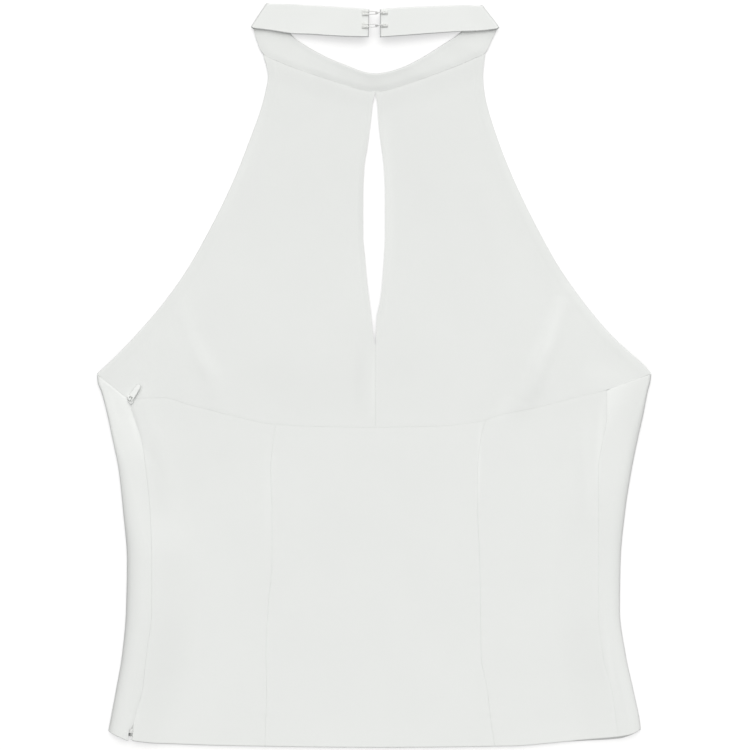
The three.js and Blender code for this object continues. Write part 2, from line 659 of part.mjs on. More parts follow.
// The back panel: one wall that lies on the surface and wraps both sides up to the
// side seams in the front layer
function backPanel() {
  const bottom = spread(0, 1, BACK_BOTTOM_STEPS).map((share) => {
    const reach = (y) => {
      const start = folds.foldLeft(y) + folds.edge(y);
      const end = folds.foldRight(y) - folds.edge(y);
      return THREE.MathUtils.lerp(start, end, share);
    };
    const breakY = THREE.MathUtils.lerp(SIDE_TOP_LEFT.y, SIDE_TOP_RIGHT.y, share);
    return girthRows(backHem(reach(FRONT_HEM[0].y)), breakY, backTop(reach(UNDERARM_LEFT.y))).map((y) => {
      return { outer: [reach(y), y, 0], inner: [reach(y), y, CLOTH_WALL] };
    });
  });
  const columns = [...wrapColumns(-1), ...bottom, ...wrapColumns(1).reverse()];
  return wallBetween(
    columns.map((column) => column.map((point) => point.outer)),
    columns.map((column) => column.map((point) => point.inner)),
  );
}

// Rows of the neckband's middle surface, each from its seam edge to its free edge
function bandStrip() {
  const widths = spread(0, 1, BAND_WIDTH_STEPS);
  const flat = (seam, free, seamZ, freeZ) =>
    widths.map((w) => {
      const z = THREE.MathUtils.lerp(seamZ, freeZ, w);
      return new THREE.Vector3(...seam.clone().lerp(free, w), z);
    });
  const lift = smoothColumn(BAND_FRONT.map((row, i) => ({ place: i, lift: row.lift })), "place", "lift");
  const places = chain(
    spread(0, BAND_CORNER_LEFT, BAND_SIDE_STEPS),
    spread(BAND_CORNER_LEFT, BAND_MIDDLE, LEFT_COLUMNS.corner + LEFT_COLUMNS.side + LEFT_COLUMNS.centre),
    spread(BAND_MIDDLE, BAND_CORNER_RIGHT, RIGHT_COLUMNS.corner + RIGHT_COLUMNS.side + RIGHT_COLUMNS.centre),
    spread(BAND_CORNER_RIGHT, BAND_FRONT.length - 1, BAND_SIDE_STEPS),
  );
  const front = places.map((place) =>
    flat(
      bandEdgePoint(bandSeamEdge, place),
      bandEdgePoint(bandFreeEdge, place),
      BAND_FRONT_MIDDLE_Z,
      BAND_FRONT_MIDDLE_Z + lift(place),
    ),
  );
  const backEnd = (table) => {
    const seamEdge = new THREE.SplineCurve(table.map((row) => new THREE.Vector2(row.seamX, row.seamY)));
    const freeEdge = new THREE.SplineCurve(table.map((row) => new THREE.Vector2(row.freeX, row.freeY)));
    return spread(0, 1, BAND_BACK_STEPS).map((t) => {
      const risen = ease(t, BAND_END_RISE.start, BAND_END_RISE.end);
      const z = THREE.MathUtils.lerp(BAND_BACK_MIDDLE_Z, BAND_END_MIDDLE_Z, risen);
      return flat(seamEdge.getPoint(t), freeEdge.getPoint(t), z, z);
    });
  };
  const fold = (row) => {
    const seam = new THREE.Vector2(row.seamX, row.seamY);
    const free = new THREE.Vector2(row.freeX, row.freeY);
    const along = free.clone().sub(seam).normalize();
    const outward = new THREE.Vector2(-along.y, along.x).multiplyScalar(Math.sign(-row.seamX));
    return spread(0, Math.PI, BAND_FOLD_STEPS).map((turn) => {
      const shift = outward.clone().multiplyScalar(BAND_FOLD_RADIUS * Math.sin(turn));
      const z = BAND_FRONT_MIDDLE_Z + BAND_FOLD_RADIUS * (1 - Math.cos(turn));
      return flat(seam.clone().add(shift), free.clone().add(shift), z, z);
    });
  };
  return chain(
    backEnd(BAND_BACK_LEFT).reverse(),
    fold(BAND_FRONT[0]).reverse(),
    front,
    fold(BAND_FRONT.at(-1)),
    backEnd(BAND_BACK_RIGHT),
  );
}

// The neckband: half its wall on each side of its middle surface
function neckband() {
  const strip = bandStrip();
  const normalAt = (i, j) => {
    const row = (k) => strip[THREE.MathUtils.clamp(k, 0, strip.length - 1)];
    const along = row(i + 1)[j].clone().sub(row(i - 1)[j]);
    const across = strip[i].at(-1).clone().sub(strip[i][0]);
    return along.cross(across).normalize();
  };
  const offset = (sign) =>
    strip.map((row, i) =>
      row.map((point, j) => {
        const moved = point.clone().addScaledVector(normalAt(i, j), (sign * BAND_WALL) / 2);
        return [moved.x, moved.y, Math.max(0, moved.z)];
      }),
    );
  return wallBetween(offset(1), offset(-1));
}

// The zip's tape and chain, a flat strip that follows the cloth just below the left side seam
function zipTape() {
  const rows = spread(TAPE.foot, TAPE.top, TAPE_STEPS);
  const columns = spread(-TAPE.halfWidth, TAPE.halfWidth, TAPE_COLUMNS);
  const level = (depth) =>
    rows.map((y) =>
      columns.map((offset) => {
        const x = seams.sideLeft(y) + offset;
        return [x, y, layerUnderside(x, y) - depth];
      }),
    );
  return wallBetween(level(TAPE.below), level(TAPE.below + TAPE.wall));
}

// A solid from a closed geometry, for joining and cutting
function solidOf(geometry) {
  const bare = geometry.clone();
  bare.deleteAttribute("normal");
  bare.deleteAttribute("uv");
  const merged = mergeVertices(bare, MERGE_DISTANCE);
  const mesh = { numProp: 3, vertProperties: merged.attributes.position.array };
  return new wasm.Manifold(new wasm.Mesh({ ...mesh, triVerts: new Uint32Array(merged.index.array) }));
}

// A geometry from a joined or cut solid
function geometryOf(solid) {
  const mesh = solid.getMesh();
  const geometry = new THREE.BufferGeometry();
  geometry.setAttribute("position", new THREE.Float32BufferAttribute(mesh.vertProperties, 3));
  geometry.setIndex([...mesh.triVerts]);
  geometry.computeVertexNormals();
  return geometry;
}

// A flat plate from an outline, its bottom at the given height
function plate(outline, thickness, bottomZ) {
  const settings = { depth: thickness, bevelEnabled: false, curveSegments: ARC_STEPS };
  return new THREE.ExtrudeGeometry(outline, settings).translate(0, 0, bottomZ);
}

// Heights of the slider and of the pin that the pull tab turns on
const sliderBottom = layerUnderside(SLIDER.x, SLIDER.y) + CLOTH_WALL + RUNNING_GAP;
const sliderTop = sliderBottom + SLIDER.wall;
const pinHeight = sliderTop + PIN.clearance + PIN.radius;

// The zip's slider: a rounded crown along the seam with a bridge over the tab's pin
function zipSlider() {
  const half = SLIDER.width / 2;
  const reach = SLIDER.length / 2 - half;
  const crown = new THREE.Shape();
  crown.absarc(reach, 0, half, -Math.PI / 2, Math.PI / 2, false);
  crown.absarc(-reach, 0, half, Math.PI / 2, (3 * Math.PI) / 2, false);
  const base = plate(crown, SLIDER.wall, sliderBottom).rotateZ(THREE.MathUtils.degToRad(SLIDER.seamAngle));
  const footZ = sliderTop - SLIDER.wall / 2 - pinHeight;
  const arch = new THREE.Shape();
  arch.moveTo(BRIDGE.outerRadius, footZ);
  arch.absarc(0, 0, BRIDGE.outerRadius, 0, Math.PI, false);
  arch.lineTo(-BRIDGE.outerRadius, footZ);
  arch.lineTo(-BRIDGE.innerRadius, footZ);
  arch.absarc(0, 0, BRIDGE.innerRadius, Math.PI, 0, true);
  arch.lineTo(BRIDGE.innerRadius, footZ);
  const bridge = plate(arch, BRIDGE.width, -BRIDGE.width / 2)
    .rotateX(Math.PI / 2)
    .rotateZ(THREE.MathUtils.degToRad(PULL.angle))
    .translate(0, 0, pinHeight);
  const joined = solidOf(base).add(solidOf(bridge));
  return geometryOf(joined).translate(SLIDER.x, SLIDER.y, 0);
}

// The pull tab: a ring round the slider's bridge that narrows to a rounded tip
function zipPull() {
  const half = PULL.width / 2;
  const tip = PULL.tipWidth / 2;
  const outline = new THREE.Shape();
  outline.moveTo(-PIN.radius, -half);
  outline.lineTo(PULL.ring * 2, -half);
  outline.lineTo(PULL.length - tip, -tip);
  outline.absarc(PULL.length - tip, 0, tip, -Math.PI / 2, Math.PI / 2, false);
  outline.lineTo(PULL.ring * 2, half);
  outline.lineTo(-PIN.radius, half);
  const ring = new THREE.Path();
  ring.moveTo(PIN.radius, -half + PULL.arm);
  ring.lineTo(PIN.radius, half - PULL.arm);
  ring.lineTo(PULL.ring, half - PULL.arm);
  ring.lineTo(PULL.ring, -half + PULL.arm);
  outline.holes.push(ring);
  return plate(outline, PIN.radius * 2, pinHeight - PIN.radius)
    .rotateZ(THREE.MathUtils.degToRad(PULL.angle))
    .translate(SLIDER.x, SLIDER.y, 0);
}

// Round wire along a path
function wire(points, steps) {
  const section = new THREE.Shape();
  section.absarc(0, 0, WIRE_RADIUS, 0, 2 * Math.PI, false);
  const path = new THREE.CatmullRomCurve3(points, false, "centripetal");
  return new THREE.ExtrudeGeometry(section, {
    steps,
    extrudePath: path,
    curveSegments: WIRE_SIDES,
    bevelEnabled: false,
  });
}

// Height of the closure's wire where it lies on the ends of the band
const closureZ = BAND_END_MIDDLE_Z + BAND_WALL / 2 + RUNNING_GAP + WIRE_RADIUS;

// An eye: a long loop of wire sewn to the left end of the band
function eye(y) {
  const lower = EYE_HALF.map((row) => new THREE.Vector3(row.x, y - row.y, closureZ));
  const upper = EYE_HALF.map((row) => new THREE.Vector3(row.x, y + row.y, closureZ));
  return wire([...lower, ...upper.reverse()], EYE_STEPS);
}

// A hook: wire sewn to the right end of the band that passes over the eye's bar and back below it
function hook(y) {
  const path = HOOK_PATH.map((row) => new THREE.Vector3(row.x, y, closureZ + row.climb * HOOK_CLEARANCE));
  return wire(path, HOOK_STEPS);
}

// Finishes: matt crepe, woven zip tape and white enamel
const crepe = () => new THREE.MeshStandardMaterial({ color: 0xe7e9e6, roughness: 0.82, metalness: 0 });
const tapeCloth = () => new THREE.MeshStandardMaterial({ color: 0xe9e9e6, roughness: 0.75, metalness: 0 });
const enamel = () => new THREE.MeshStandardMaterial({ color: 0xf0efec, roughness: 0.35, metalness: 0.1 });

const top = new THREE.Group();
function addPiece(name, geometry, material) {
  const mesh = new THREE.Mesh(geometry, material);
  mesh.name = name;
  top.add(mesh);
}

addPiece("back_panel", backPanel(), crepe());
addPiece("front_lower_left", lowerFront(sideLeft, princessLeft, stations.sideLeft), crepe());
addPiece(
  "front_lower_centre",
  lowerFront(princessLeft, princessRight, chain(stations.centreLeft, stations.centreRight)),
  crepe(),
);
addPiece("front_lower_right", lowerFront(princessRight, sideRight, stations.sideRight), crepe());
addPiece("front_upper_left", upperFrontLeft(), crepe());
addPiece("front_upper_right", upperFrontRight(), crepe());
addPiece("neckband", neckband(), crepe());
addPiece("zip_tape", zipTape(), tapeCloth());
addPiece("zip_slider", zipSlider(), enamel());
addPiece("zip_pull", zipPull(), enamel());
for (const closure of CLOSURES) {
  addPiece(`eye_${closure.name}`, eye(closure.y), enamel());
  addPiece(`hook_${closure.name}`, hook(closure.y), enamel());
}

export default top;
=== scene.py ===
"""Looks of an off-white crepe halter neck top that lies flat with its front up.

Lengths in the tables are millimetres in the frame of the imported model: +X to the right of
the front, +Y from the hem to the neck, +Z off the surface. Meshes are made in metres.
"""

import logging
import math
from dataclasses import dataclass, field
from enum import Enum
from typing import Any, Callable, Optional, Sequence

import bmesh
import bpy
import numpy as np
from mathutils import Matrix, Vector


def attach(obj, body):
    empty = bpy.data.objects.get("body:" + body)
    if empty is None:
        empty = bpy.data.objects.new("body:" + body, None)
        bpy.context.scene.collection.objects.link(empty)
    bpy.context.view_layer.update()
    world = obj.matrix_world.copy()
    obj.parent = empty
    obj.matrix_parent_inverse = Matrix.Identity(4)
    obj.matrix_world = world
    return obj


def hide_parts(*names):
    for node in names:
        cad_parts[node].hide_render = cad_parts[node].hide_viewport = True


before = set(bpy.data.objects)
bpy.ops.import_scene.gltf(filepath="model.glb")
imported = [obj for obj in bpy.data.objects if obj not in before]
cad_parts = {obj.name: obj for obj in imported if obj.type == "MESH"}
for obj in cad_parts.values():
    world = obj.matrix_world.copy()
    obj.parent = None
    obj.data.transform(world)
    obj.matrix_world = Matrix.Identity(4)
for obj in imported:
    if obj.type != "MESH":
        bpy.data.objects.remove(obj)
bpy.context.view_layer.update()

LOG = logging.getLogger("halter_top")
Array = np.ndarray
MM = 0.001
IMAGE_PIXELS = 750
MM_PER_PIXEL = 0.7246


class Body(Enum):
    """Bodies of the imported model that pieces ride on."""

    GARMENT = "garment"
    PULL_TAB = "pull_tab"


class Slot(Enum):
    """Material slots of the record."""

    CREPE = "crepe"
    ZIP_TAPE = "zip_tape"
    ENAMEL = "enamel"


class Side(Enum):
    """Which side fold of the body a wrap goes round."""

    LEFT = -1
    RIGHT = 1


# Tables of the garment's form


class Table:
    """Rows of numbers under named columns."""

    def __init__(self, columns: str, *rows: Sequence[float]) -> None:
        """Keeps the columns by name.

        Args:
            columns: the names of the columns, with spaces between them.
            rows: one sequence of numbers for each row.
        """
        self.columns = dict(zip(columns.split(), np.array(rows, float).T))

    def __getitem__(self, column: str) -> Array:
        """One column as an array."""
        return self.columns[column]

    def curve(self, source: str, target: str) -> "SmoothCurve":
        """One column as a smooth function of another."""
        return SmoothCurve(self[source], self[target])

    def points(self, first: str, second: str) -> Array:
        """Two columns side by side."""
        return np.column_stack([self[first], self[second]])


class SmoothCurve:
    """A smooth curve through points without overshoot."""

    def __init__(self, xs: Array, ys: Array) -> None:
        """Works out the slope at each point as the harmonic mean of its two neighbours.

        Args:
            xs: rising places of the points.
            ys: values at them.
        """
        steps = np.diff(ys) / np.diff(xs)
        product = steps[:-1] * steps[1:]
        total = np.where(product > 0, steps[:-1] + steps[1:], 1.0)
        inner = np.where(product > 0, 2 * product / total, 0.0)
        self.xs, self.ys = xs, ys
        self.slopes = np.concatenate([steps[:1], inner, steps[-1:]])

    def __call__(self, x: Any) -> Array:
        """The curve's values at x, held level past its ends."""
        x = np.asarray(x, float)
        i = np.searchsorted(self.xs[1:-1], x, side="left")
        width = self.xs[i + 1] - self.xs[i]
        t = np.clip((x - self.xs[i]) / width, 0, 1)
        rise = t * t * (3 - 2 * t)
        lead = self.slopes[i] * width * t * (1 - t) ** 2
        tail = self.slopes[i + 1] * width * t * t * (1 - t)
        return self.ys[i] * (1 - rise) + self.ys[i + 1] * rise + lead - tail


FOLDS = Table(
    "y left right edge gap",
    (-269.5, -195, 194.5, 2.5, 1),
    (-250, -191.2, 192.4, 2.4, 0.7),
    (-228.5, -187.2, 187.9, 2.3, 0.6),
    (-203, -182.8, 182.4, 2.3, 0.5),
    (-170.5, -179.9, 178.1, 2.3, 0.5),
    (-134, -179.2, 178.7, 2.3, 0.5),
    (-98, -182.1, 182.1, 2.4, 0.6),
    (-69, -185.2, 186.6, 2.5, 0.6),
    (-47, -189.6, 191, 2.7, 0.7),
    (-29, -193.4, 195, 2.8, 0.7),
    (-11, -198.2, 198.5, 2.9, 0.7),
    (-6.5, -200.2, 199.8, 2.9, 0.7),
    (1, -201, 201, 2.9, 0.7),
)
CRESTS = Table(
    "y rise_left rise_right run_left run_right",
    (-269.5, 8.2, 6, 12, 8.5),
    (-250, 8.2, 6, 12, 8.5),
    (-228.5, 8.4, 6, 12.5, 8.5),
    (-203, 8.9, 6.2, 13.5, 9.5),
    (-170.5, 9.4, 6.5, 14, 10.5),
    (-134, 9.2, 6.9, 14, 11),
    (-98, 7.4, 7.3, 11, 11),
    (-69, 6, 7.1, 7.5, 9.5),
    (-47, 5, 6.7, 3.5, 7.5),
    (-29, 4.9, 6.3, 2.8, 5),
    (-11, 5, 5.8, 2.4, 3),
    (1, 5, 5.8, 2.4, 3),
)
SEAMS = Table(
    "y side_left princess_left princess_right side_right",
    (-269.5, -176, -79, 87.5, 177),
    (-250, -173.5, -78.5, 84.5, 175),
    (-228.5, -167.5, -78, 82, 172),
    (-203, -164.5, -78.5, 77.5, 165.5),
    (-170.5, -160.5, -77, 77, 162),
    (-134, -160.5, -74, 76.5, 162),
    (-98, -162, -74, 75, 162),
    (-69, -165, -75, 75, 162),
    (-47, -168.5, -73, 77, 165.5),
    (-29, -174.5, -70, 81.5, 168.5),
    (-17.5, -178, -68.6, 83.2, 168.5),
    (-11, -180, -68, 84, 168.5),
    (1, -180, -68, 84, 168.5),
)
FRONT_HEM = Table(
    "x y",
    (-196, -256.5),
    (-186.5, -260.5),
    (-174, -264.5),
    (-155, -267),
    (-92.5, -269),
    (0, -270),
    (101, -269),
    (126.5, -267),
    (151.5, -264.5),
    (172, -262.5),
    (184, -260.5),
    (195, -256.5),
)
BACK_HEM = Table(
    "x y",
    (-196, -256.5),
    (-180, -261.5),
    (-155, -265.5),
    (-92.5, -267.5),
    (0, -268.5),
    (101, -268),
    (151.5, -265.5),
    (176.5, -264),
    (185.5, -261.5),
    (195, -256.5),
)
BACK_TOP = Table("x y", (-201, 0.1), (-120, -8), (0, -12.5), (120, -8), (201, 0.5))
UNDERBUST = Table(
    "x y",
    (-178, -17.5),
    (-152.5, -16.5),
    (-136, -21),
    (-105, -29),
    (-75, -35.5),
    (-40, -37.5),
    (1, -38),
    (48, -37),
    (75.5, -34),
    (91.5, -29),
    (118.5, -23.5),
    (149.5, -15.5),
    (168.5, -11),
)
SIDE_TOP = {Side.LEFT: (-178, -17.5), Side.RIGHT: (168.5, -11)}
UNDERARM = {Side.LEFT: (-200.5, 0.5), Side.RIGHT: (200.5, 1)}
ARMHOLE = Table(
    "y left right",
    (1, -200.5, 200.5),
    (4, -197.2, 198),
    (8, -192.9, 194.3),
    (19.5, -181.3, 181.3),
    (31, -170.6, 169.7),
    (54, -151.3, 150.9),
    (77.5, -135, 134.5),
    (100.5, -122, 121.5),
    (124, -110, 109.5),
    (147, -99.5, 99),
    (170, -90.5, 90),
    (193.5, -82, 82.5),
    (205, -79, 80),
    (216.5, -77, 79),
    (233, -80.5, 80.5),
)
KEYHOLE = Table(
    "y left right",
    (21.5, 0.8, 1.2),
    (32, -1, 1.4),
    (42.5, -2, 2),
    (54, -3.5, 4.5),
    (66.5, -5, 6),
    (89, -7, 7.5),
    (100.5, -8, 8),
    (129.5, -8, 8),
    (152.5, -7, 7),
    (164.5, -5, 5.5),
    (176, -3.5, 4),
    (186, -2.2, 3),
    (206, 0, 1.8),
)
BAND_FRONT = Table(
    "seam_x seam_y free_x free_y lift",
    (-87.5, 250.9, -75.7, 268.6, 0),
    (-85, 242, -69.5, 259.5, 0),
    (-80.5, 233, -63, 250.5, 0),
    (-69, 227, -56.5, 243.5, 0),
    (-53.5, 221, -45.5, 236.5, 0.2),
    (-38, 215.8, -33.5, 230, 0.7),
    (-22, 210.5, -20, 224.5, 1.2),
    (-9.5, 206.7, -8.5, 220, 1.6),
    (1, 205.5, 1, 218.5, 1.8),
    (12, 207.2, 11, 220, 1.6),
    (27, 212, 23, 224, 1.2),
    (46, 218.8, 37, 231.5, 0.7),
    (61, 224.5, 49.5, 239.5, 0.2),
    (72, 229.3, 59.5, 246, 0),
    (80.5, 233.5, 66, 252, 0),
    (85, 242, 71, 259.5, 0),
    (89, 250.4, 76, 267, 0),
)
BAND_BACK_LEFT = Table(
    "seam_x seam_y free_x free_y",
    (-87.5, 250.9, -75.7, 268.6),
    (-75, 249.4, -60.5, 268.4),
    (-59, 246.9, -46, 267.4),
    (-46, 246.2, -31.5, 266.4),
    (-31.5, 245, -19, 265.3),
    (-17, 244.2, -10.5, 264.7),
    (-4, 244, -3.5, 264.1),
)
BAND_BACK_RIGHT = Table(
    "seam_x seam_y free_x free_y",
    (89, 250.4, 76, 267),
    (77, 249, 66, 267.5),
    (61, 248.3, 53, 267.1),
    (41, 246.7, 37, 266.3),
    (21, 245, 20, 265.3),
    (4.2, 243.8, 4.2, 264.1),
)


# Plane geometry


def ease(value: Any, start: float, end: float) -> Array:
    """A value that eases from 0 at the start to 1 at the end."""
    t = np.clip((np.asarray(value, float) - start) / (end - start), 0, 1)
    return t * t * (3 - 2 * t)


def blend_between(start: Any, end: Any, share: Any) -> Array:
    """The value at a share of the way from start to end."""
    return np.asarray(start) * (1 - share) + np.asarray(end) * share


def through(points: Array, share: Array) -> Array:
    """Points on an even Catmull-Rom curve.

    Args:
        points: the rows that the curve passes through.
        share: places along it from 0 to 1, even by row.

    Returns:
        One row of coordinates for each place.
    """
    last = len(points) - 1
    place = np.clip(np.asarray(share, float), 0, 1) * last
    i = np.minimum(place.astype(int), last - 1)
    t = (place - i)[:, None]
    before, here = points[np.maximum(i - 1, 0)], points[i]
    ahead, beyond = points[i + 1], points[np.minimum(i + 2, last)]
    leave, reach = (ahead - before) / 2, (beyond - here) / 2
    cubic = 2 * here - 2 * ahead + leave + reach
    square = 3 * ahead - 3 * here - 2 * leave - reach
    return cubic * t**3 + square * t**2 + leave * t + here


def nearest_on_path(points: Array, path: Array) -> tuple[Array, Array]:
    """Distance to a path and how far along it the nearest place is.

    Args:
        points: any array of points, its last axis x and y.
        path: the corners of the path.

    Returns:
        The distances, and the lengths along the path, in the shape of the points.
    """
    flat = points.reshape(-1, 2)
    best = np.full(len(flat), np.inf)
    along = np.zeros(len(flat))
    before = 0.0
    for start, end in zip(path[:-1], path[1:]):
        length = math.dist(start, end)
        if length < 1e-9:
            continue
        way = (end - start) / length
        offset = flat - start
        reach = np.clip(offset @ way, 0, length)
        away = np.hypot(*(offset - reach[:, None] * way).T)
        closer = away < best
        best = np.where(closer, away, best)
        along = np.where(closer, before + reach, along)
        before += length
    shape = points.shape[:-1]
    return best.reshape(shape), along.reshape(shape)


def wander(place: Any, lengths: Sequence[float], seed: int) -> Array:
    """A smooth irregular value between about -1 and 1.

    Args:
        place: where along a line it is wanted.
        lengths: the wavelengths that make it up.
        seed: fixes the phases.

    Returns:
        The value at each place.
    """
    phases = np.random.default_rng(seed).uniform(0, 2 * math.pi, len(lengths))
    waves = [np.sin(2 * math.pi * np.asarray(place) / l + p) for l, p in zip(lengths, phases)]
    return sum(waves) / math.sqrt(len(lengths))


def dense_at_ends(length: float, step: float, rim: Sequence[float]) -> Array:
    """Shares from 0 to 1 that lie close together at both ends.

    Args:
        length: the whole length.
        step: the spacing in the middle.
        rim: distances from either end where the first ones lie.

    Returns:
        The shares in rising order.
    """
    inner = rim[-1] + step
    count = max(2, round((length - 2 * inner) / step))
    middle = np.linspace(inner, length - inner, count + 1)
    ends = np.array(rim)
    return np.concatenate([ends, middle, length - ends[::-1]]) / length


def round_edge(distance: Array, radius: float) -> Array:
    """Share of the full wall at a distance from a rounded edge."""
    t = np.clip(distance / radius, 0, 1)
    return np.sqrt(1 - (1 - t) ** 2)


# Form of the body


@dataclass(frozen=True)
class Crease:
    """A soft ridge, or with a negative height a soft trough, along a path."""

    height: float
    half_width: float
    path: tuple[tuple[float, float], ...]

    def lift(self, points: Array) -> Array:
        """How far it lifts the cloth at points of the plan."""
        path = np.array(self.path, float)
        length = np.hypot(*np.diff(path, axis=0).T).sum()
        distance, along = nearest_on_path(points, path)
        fade = np.sqrt(np.sin(math.pi * np.clip(along / length, 0.02, 0.98)))
        return self.height * fade * np.exp(-((distance / self.half_width) ** 2))


@dataclass(frozen=True)
class BodyForm:
    """The lie of the front layer and the curves that its seams and edges follow."""

    wall: float = 1.4
    fold_run: float = 40.0
    ramp_start: float = -2.0
    ramp_end: float = 120.0
    zip_house: float = 3.05
    hem_level: float = -256.5
    centre_front: float = 1.0
    keyhole_foot: float = 21.5
    bust_creases: tuple[Crease, ...] = (
        Crease(1.7, 6.5, ((138, 58), (130.5, 36), (127, 24), (120, 8), (115.5, -8), (108, -21))),
        Crease(0.9, 6.0, ((-139, 50), (-134.5, 31), (-126.5, 14), (-118.5, -1), (-117, -20))),
    )
    fold: dict[Side, SmoothCurve] = field(
        default_factory=lambda: {s: FOLDS.curve("y", s.name.lower()) for s in Side}
    )
    rise: dict[Side, SmoothCurve] = field(
        default_factory=lambda: {s: CRESTS.curve("y", f"rise_{s.name.lower()}") for s in Side}
    )
    run: dict[Side, SmoothCurve] = field(
        default_factory=lambda: {s: CRESTS.curve("y", f"run_{s.name.lower()}") for s in Side}
    )
    edge: SmoothCurve = field(default_factory=lambda: FOLDS.curve("y", "edge"))
    gap: SmoothCurve = field(default_factory=lambda: FOLDS.curve("y", "gap"))
    seams: dict[str, SmoothCurve] = field(
        default_factory=lambda: {n: SEAMS.curve("y", n) for n in SEAMS.columns if n != "y"}
    )
    front_hem: SmoothCurve = field(default_factory=lambda: FRONT_HEM.curve("x", "y"))
    back_hem: SmoothCurve = field(default_factory=lambda: BACK_HEM.curve("x", "y"))
    back_top: SmoothCurve = field(default_factory=lambda: BACK_TOP.curve("x", "y"))
    underbust_middle: SmoothCurve = field(default_factory=lambda: UNDERBUST.curve("x", "y"))

    def corner_line(self, side: Side, x: Any) -> Array:
        """Height of the straight seam from the top of a side seam to the underarm."""
        (top_x, top_y), (end_x, end_y) = SIDE_TOP[side], UNDERARM[side]
        return top_y + (end_y - top_y) * (np.asarray(x, float) - top_x) / (end_x - top_x)

    def underbust(self, x: Any) -> Array:
        """Height of the seam under the bust, out to both underarms."""
        x = np.asarray(x, float)
        middle = self.underbust_middle(x)
        right = np.where(x > SIDE_TOP[Side.RIGHT][0], self.corner_line(Side.RIGHT, x), middle)
        return np.where(x < SIDE_TOP[Side.LEFT][0], self.corner_line(Side.LEFT, x), right)

    def side_seam(self, side: Side) -> SmoothCurve:
        """The side seam of one side."""
        return self.seams[f"side_{side.name.lower()}"]

    def underside(self, plan: Array) -> Array:
        """Height of the front layer's underside.

        Args:
            plan: points of the plan, their last axis x and y.

        Returns:
            The height above the surface at each point.
        """
        x, y = plan[..., 0], plan[..., 1]
        low = self.wall + self.gap(y)
        lie = low
        for side in Side:
            near = 1 - ease(side.value * (self.crest(side, y) - x), 0, self.fold_run)
            lie = lie + (self.rise[side](y) - self.wall - low) * near
        over_zip = 1 - ease(np.abs(x - self.side_seam(Side.LEFT)(y)), 8, 18)
        housed = lie + np.maximum(0, self.zip_house - lie) * over_zip
        ramp = 1 - ease(y, self.ramp_start, self.ramp_end)
        return housed * ramp + sum(crease.lift(plan) for crease in self.bust_creases)

    def crest(self, side: Side, y: Any) -> Array:
        """Where the crest of a side fold lies, from which the cloth turns down."""
        return self.fold[side](y) - side.value * self.run[side](y)

    def crossing(self, seam: Callable, across: Callable, guess: float) -> float:
        """Height at which a seam that runs up crosses a curve that runs across."""
        y = guess
        for _ in range(8):
            y = float(across(seam(y)))
        return y


# Sheets of cloth


@dataclass
class Wall:
    """Points of a closed wall of cloth on a grid, in millimetres."""

    upper: Array
    lower: Array
    grain: Array
    tone: Any = 0.0


class Cloth:
    """Makes closed walls of cloth from grids."""

    @staticmethod
    def make(name: str, across: Array, up: Array, shape: Callable[[Array, Array], Wall]) -> bpy.types.Object:
        """A wall of cloth whose upper and lower faces meet at a rounded rim.

        Args:
            name: the piece's name.
            across: rising shares of the columns.
            up: rising shares of the rows.
            shape: gives the wall's points for a grid of shares.

        Returns:
            The piece, linked to the scene.
        """
        columns, rows = len(across) - 1, len(up) - 1
        sheet = bmesh.new()
        for level in (0.0, 1.0):
            place = Matrix.Translation((0.5, 0.5, level))
            made = bmesh.ops.create_grid(
                sheet, x_segments=columns, y_segments=rows, size=0.5, matrix=place
            )
            if level == 0.0:
                faces = list({face for vert in made["verts"] for face in vert.link_faces})
                bmesh.ops.reverse_faces(sheet, faces=faces)
        mesh = bpy.data.meshes.new(name)
        sheet.to_mesh(mesh)
        sheet.free()
        grid = np.zeros(len(mesh.vertices) * 3, np.float32)
        mesh.vertices.foreach_get("co", grid)
        grid = grid.reshape(-1, 3)
        column = np.rint(grid[:, 0] * columns).astype(int)
        row = np.rint(grid[:, 1] * rows).astype(int)
        top = grid[:, 2] > 0.5
        wall = shape(*np.meshgrid(across, up))
        points = np.where(top[:, None], wall.upper[row, column], wall.lower[row, column]) * MM
        mesh.vertices.foreach_set("co", points.astype(np.float32).ravel())
        corner = np.zeros(len(mesh.loops), np.int32)
        mesh.loops.foreach_get("vertex_index", corner)
        layer = mesh.uv_layers.new(name="cloth")
        grain = (wall.grain[row, column] * MM)[corner]
        layer.data.foreach_set("uv", grain.astype(np.float32).ravel())
        # The tone attribute carries the layer tone and the painted light and shade of the piece.
        tone = np.broadcast_to(wall.tone, wall.upper.shape[:2])[row, column]
        mesh.attributes.new("tone", "FLOAT", "POINT").data.foreach_set("value", tone.astype(np.float32))
        joined = bmesh.new()
        joined.from_mesh(mesh)
        bmesh.ops.remove_doubles(joined, verts=joined.verts, dist=1e-6)
        if joined.calc_volume(signed=True) < 0:
            bmesh.ops.reverse_faces(joined, faces=joined.faces)
        for face in joined.faces:
            face.smooth = True
        joined.to_mesh(mesh)
        joined.free()
        piece = bpy.data.objects.new(name, mesh)
        bpy.context.scene.collection.objects.link(piece)
        return piece


@dataclass
class Edges:
    """The four edges of a panel's plan as functions of a share from 0 to 1."""

    bottom: Callable[[Array], Array]
    top: Callable[[Array], Array]
    left: Callable[[Array], Array]
    right: Callable[[Array], Array]

    def plan(self, across: Array, up: Array) -> Array:
        """Points inside the edges by transfinite interpolation.

        Args:
            across: grid of shares from the left to the right.
            up: grid of shares from the bottom to the top.

        Returns:
            The plan's points, their last axis x and y.
        """
        u, v = across[0], up[:, 0]
        bottom, top, left, right = self.bottom(u), self.top(u), self.left(v), self.right(v)
        left[0], left[-1], right[0], right[-1] = bottom[0], top[0], bottom[-1], top[-1]
        a, b = across[..., None], up[..., None]
        between = (1 - a) * left[:, None] + a * right[:, None]
        between += (1 - b) * bottom[None] + b * top[None]
        low = (1 - a) * bottom[0] + a * bottom[-1]
        high = (1 - a) * top[0] + a * top[-1]
        return between - (1 - b) * low - b * high


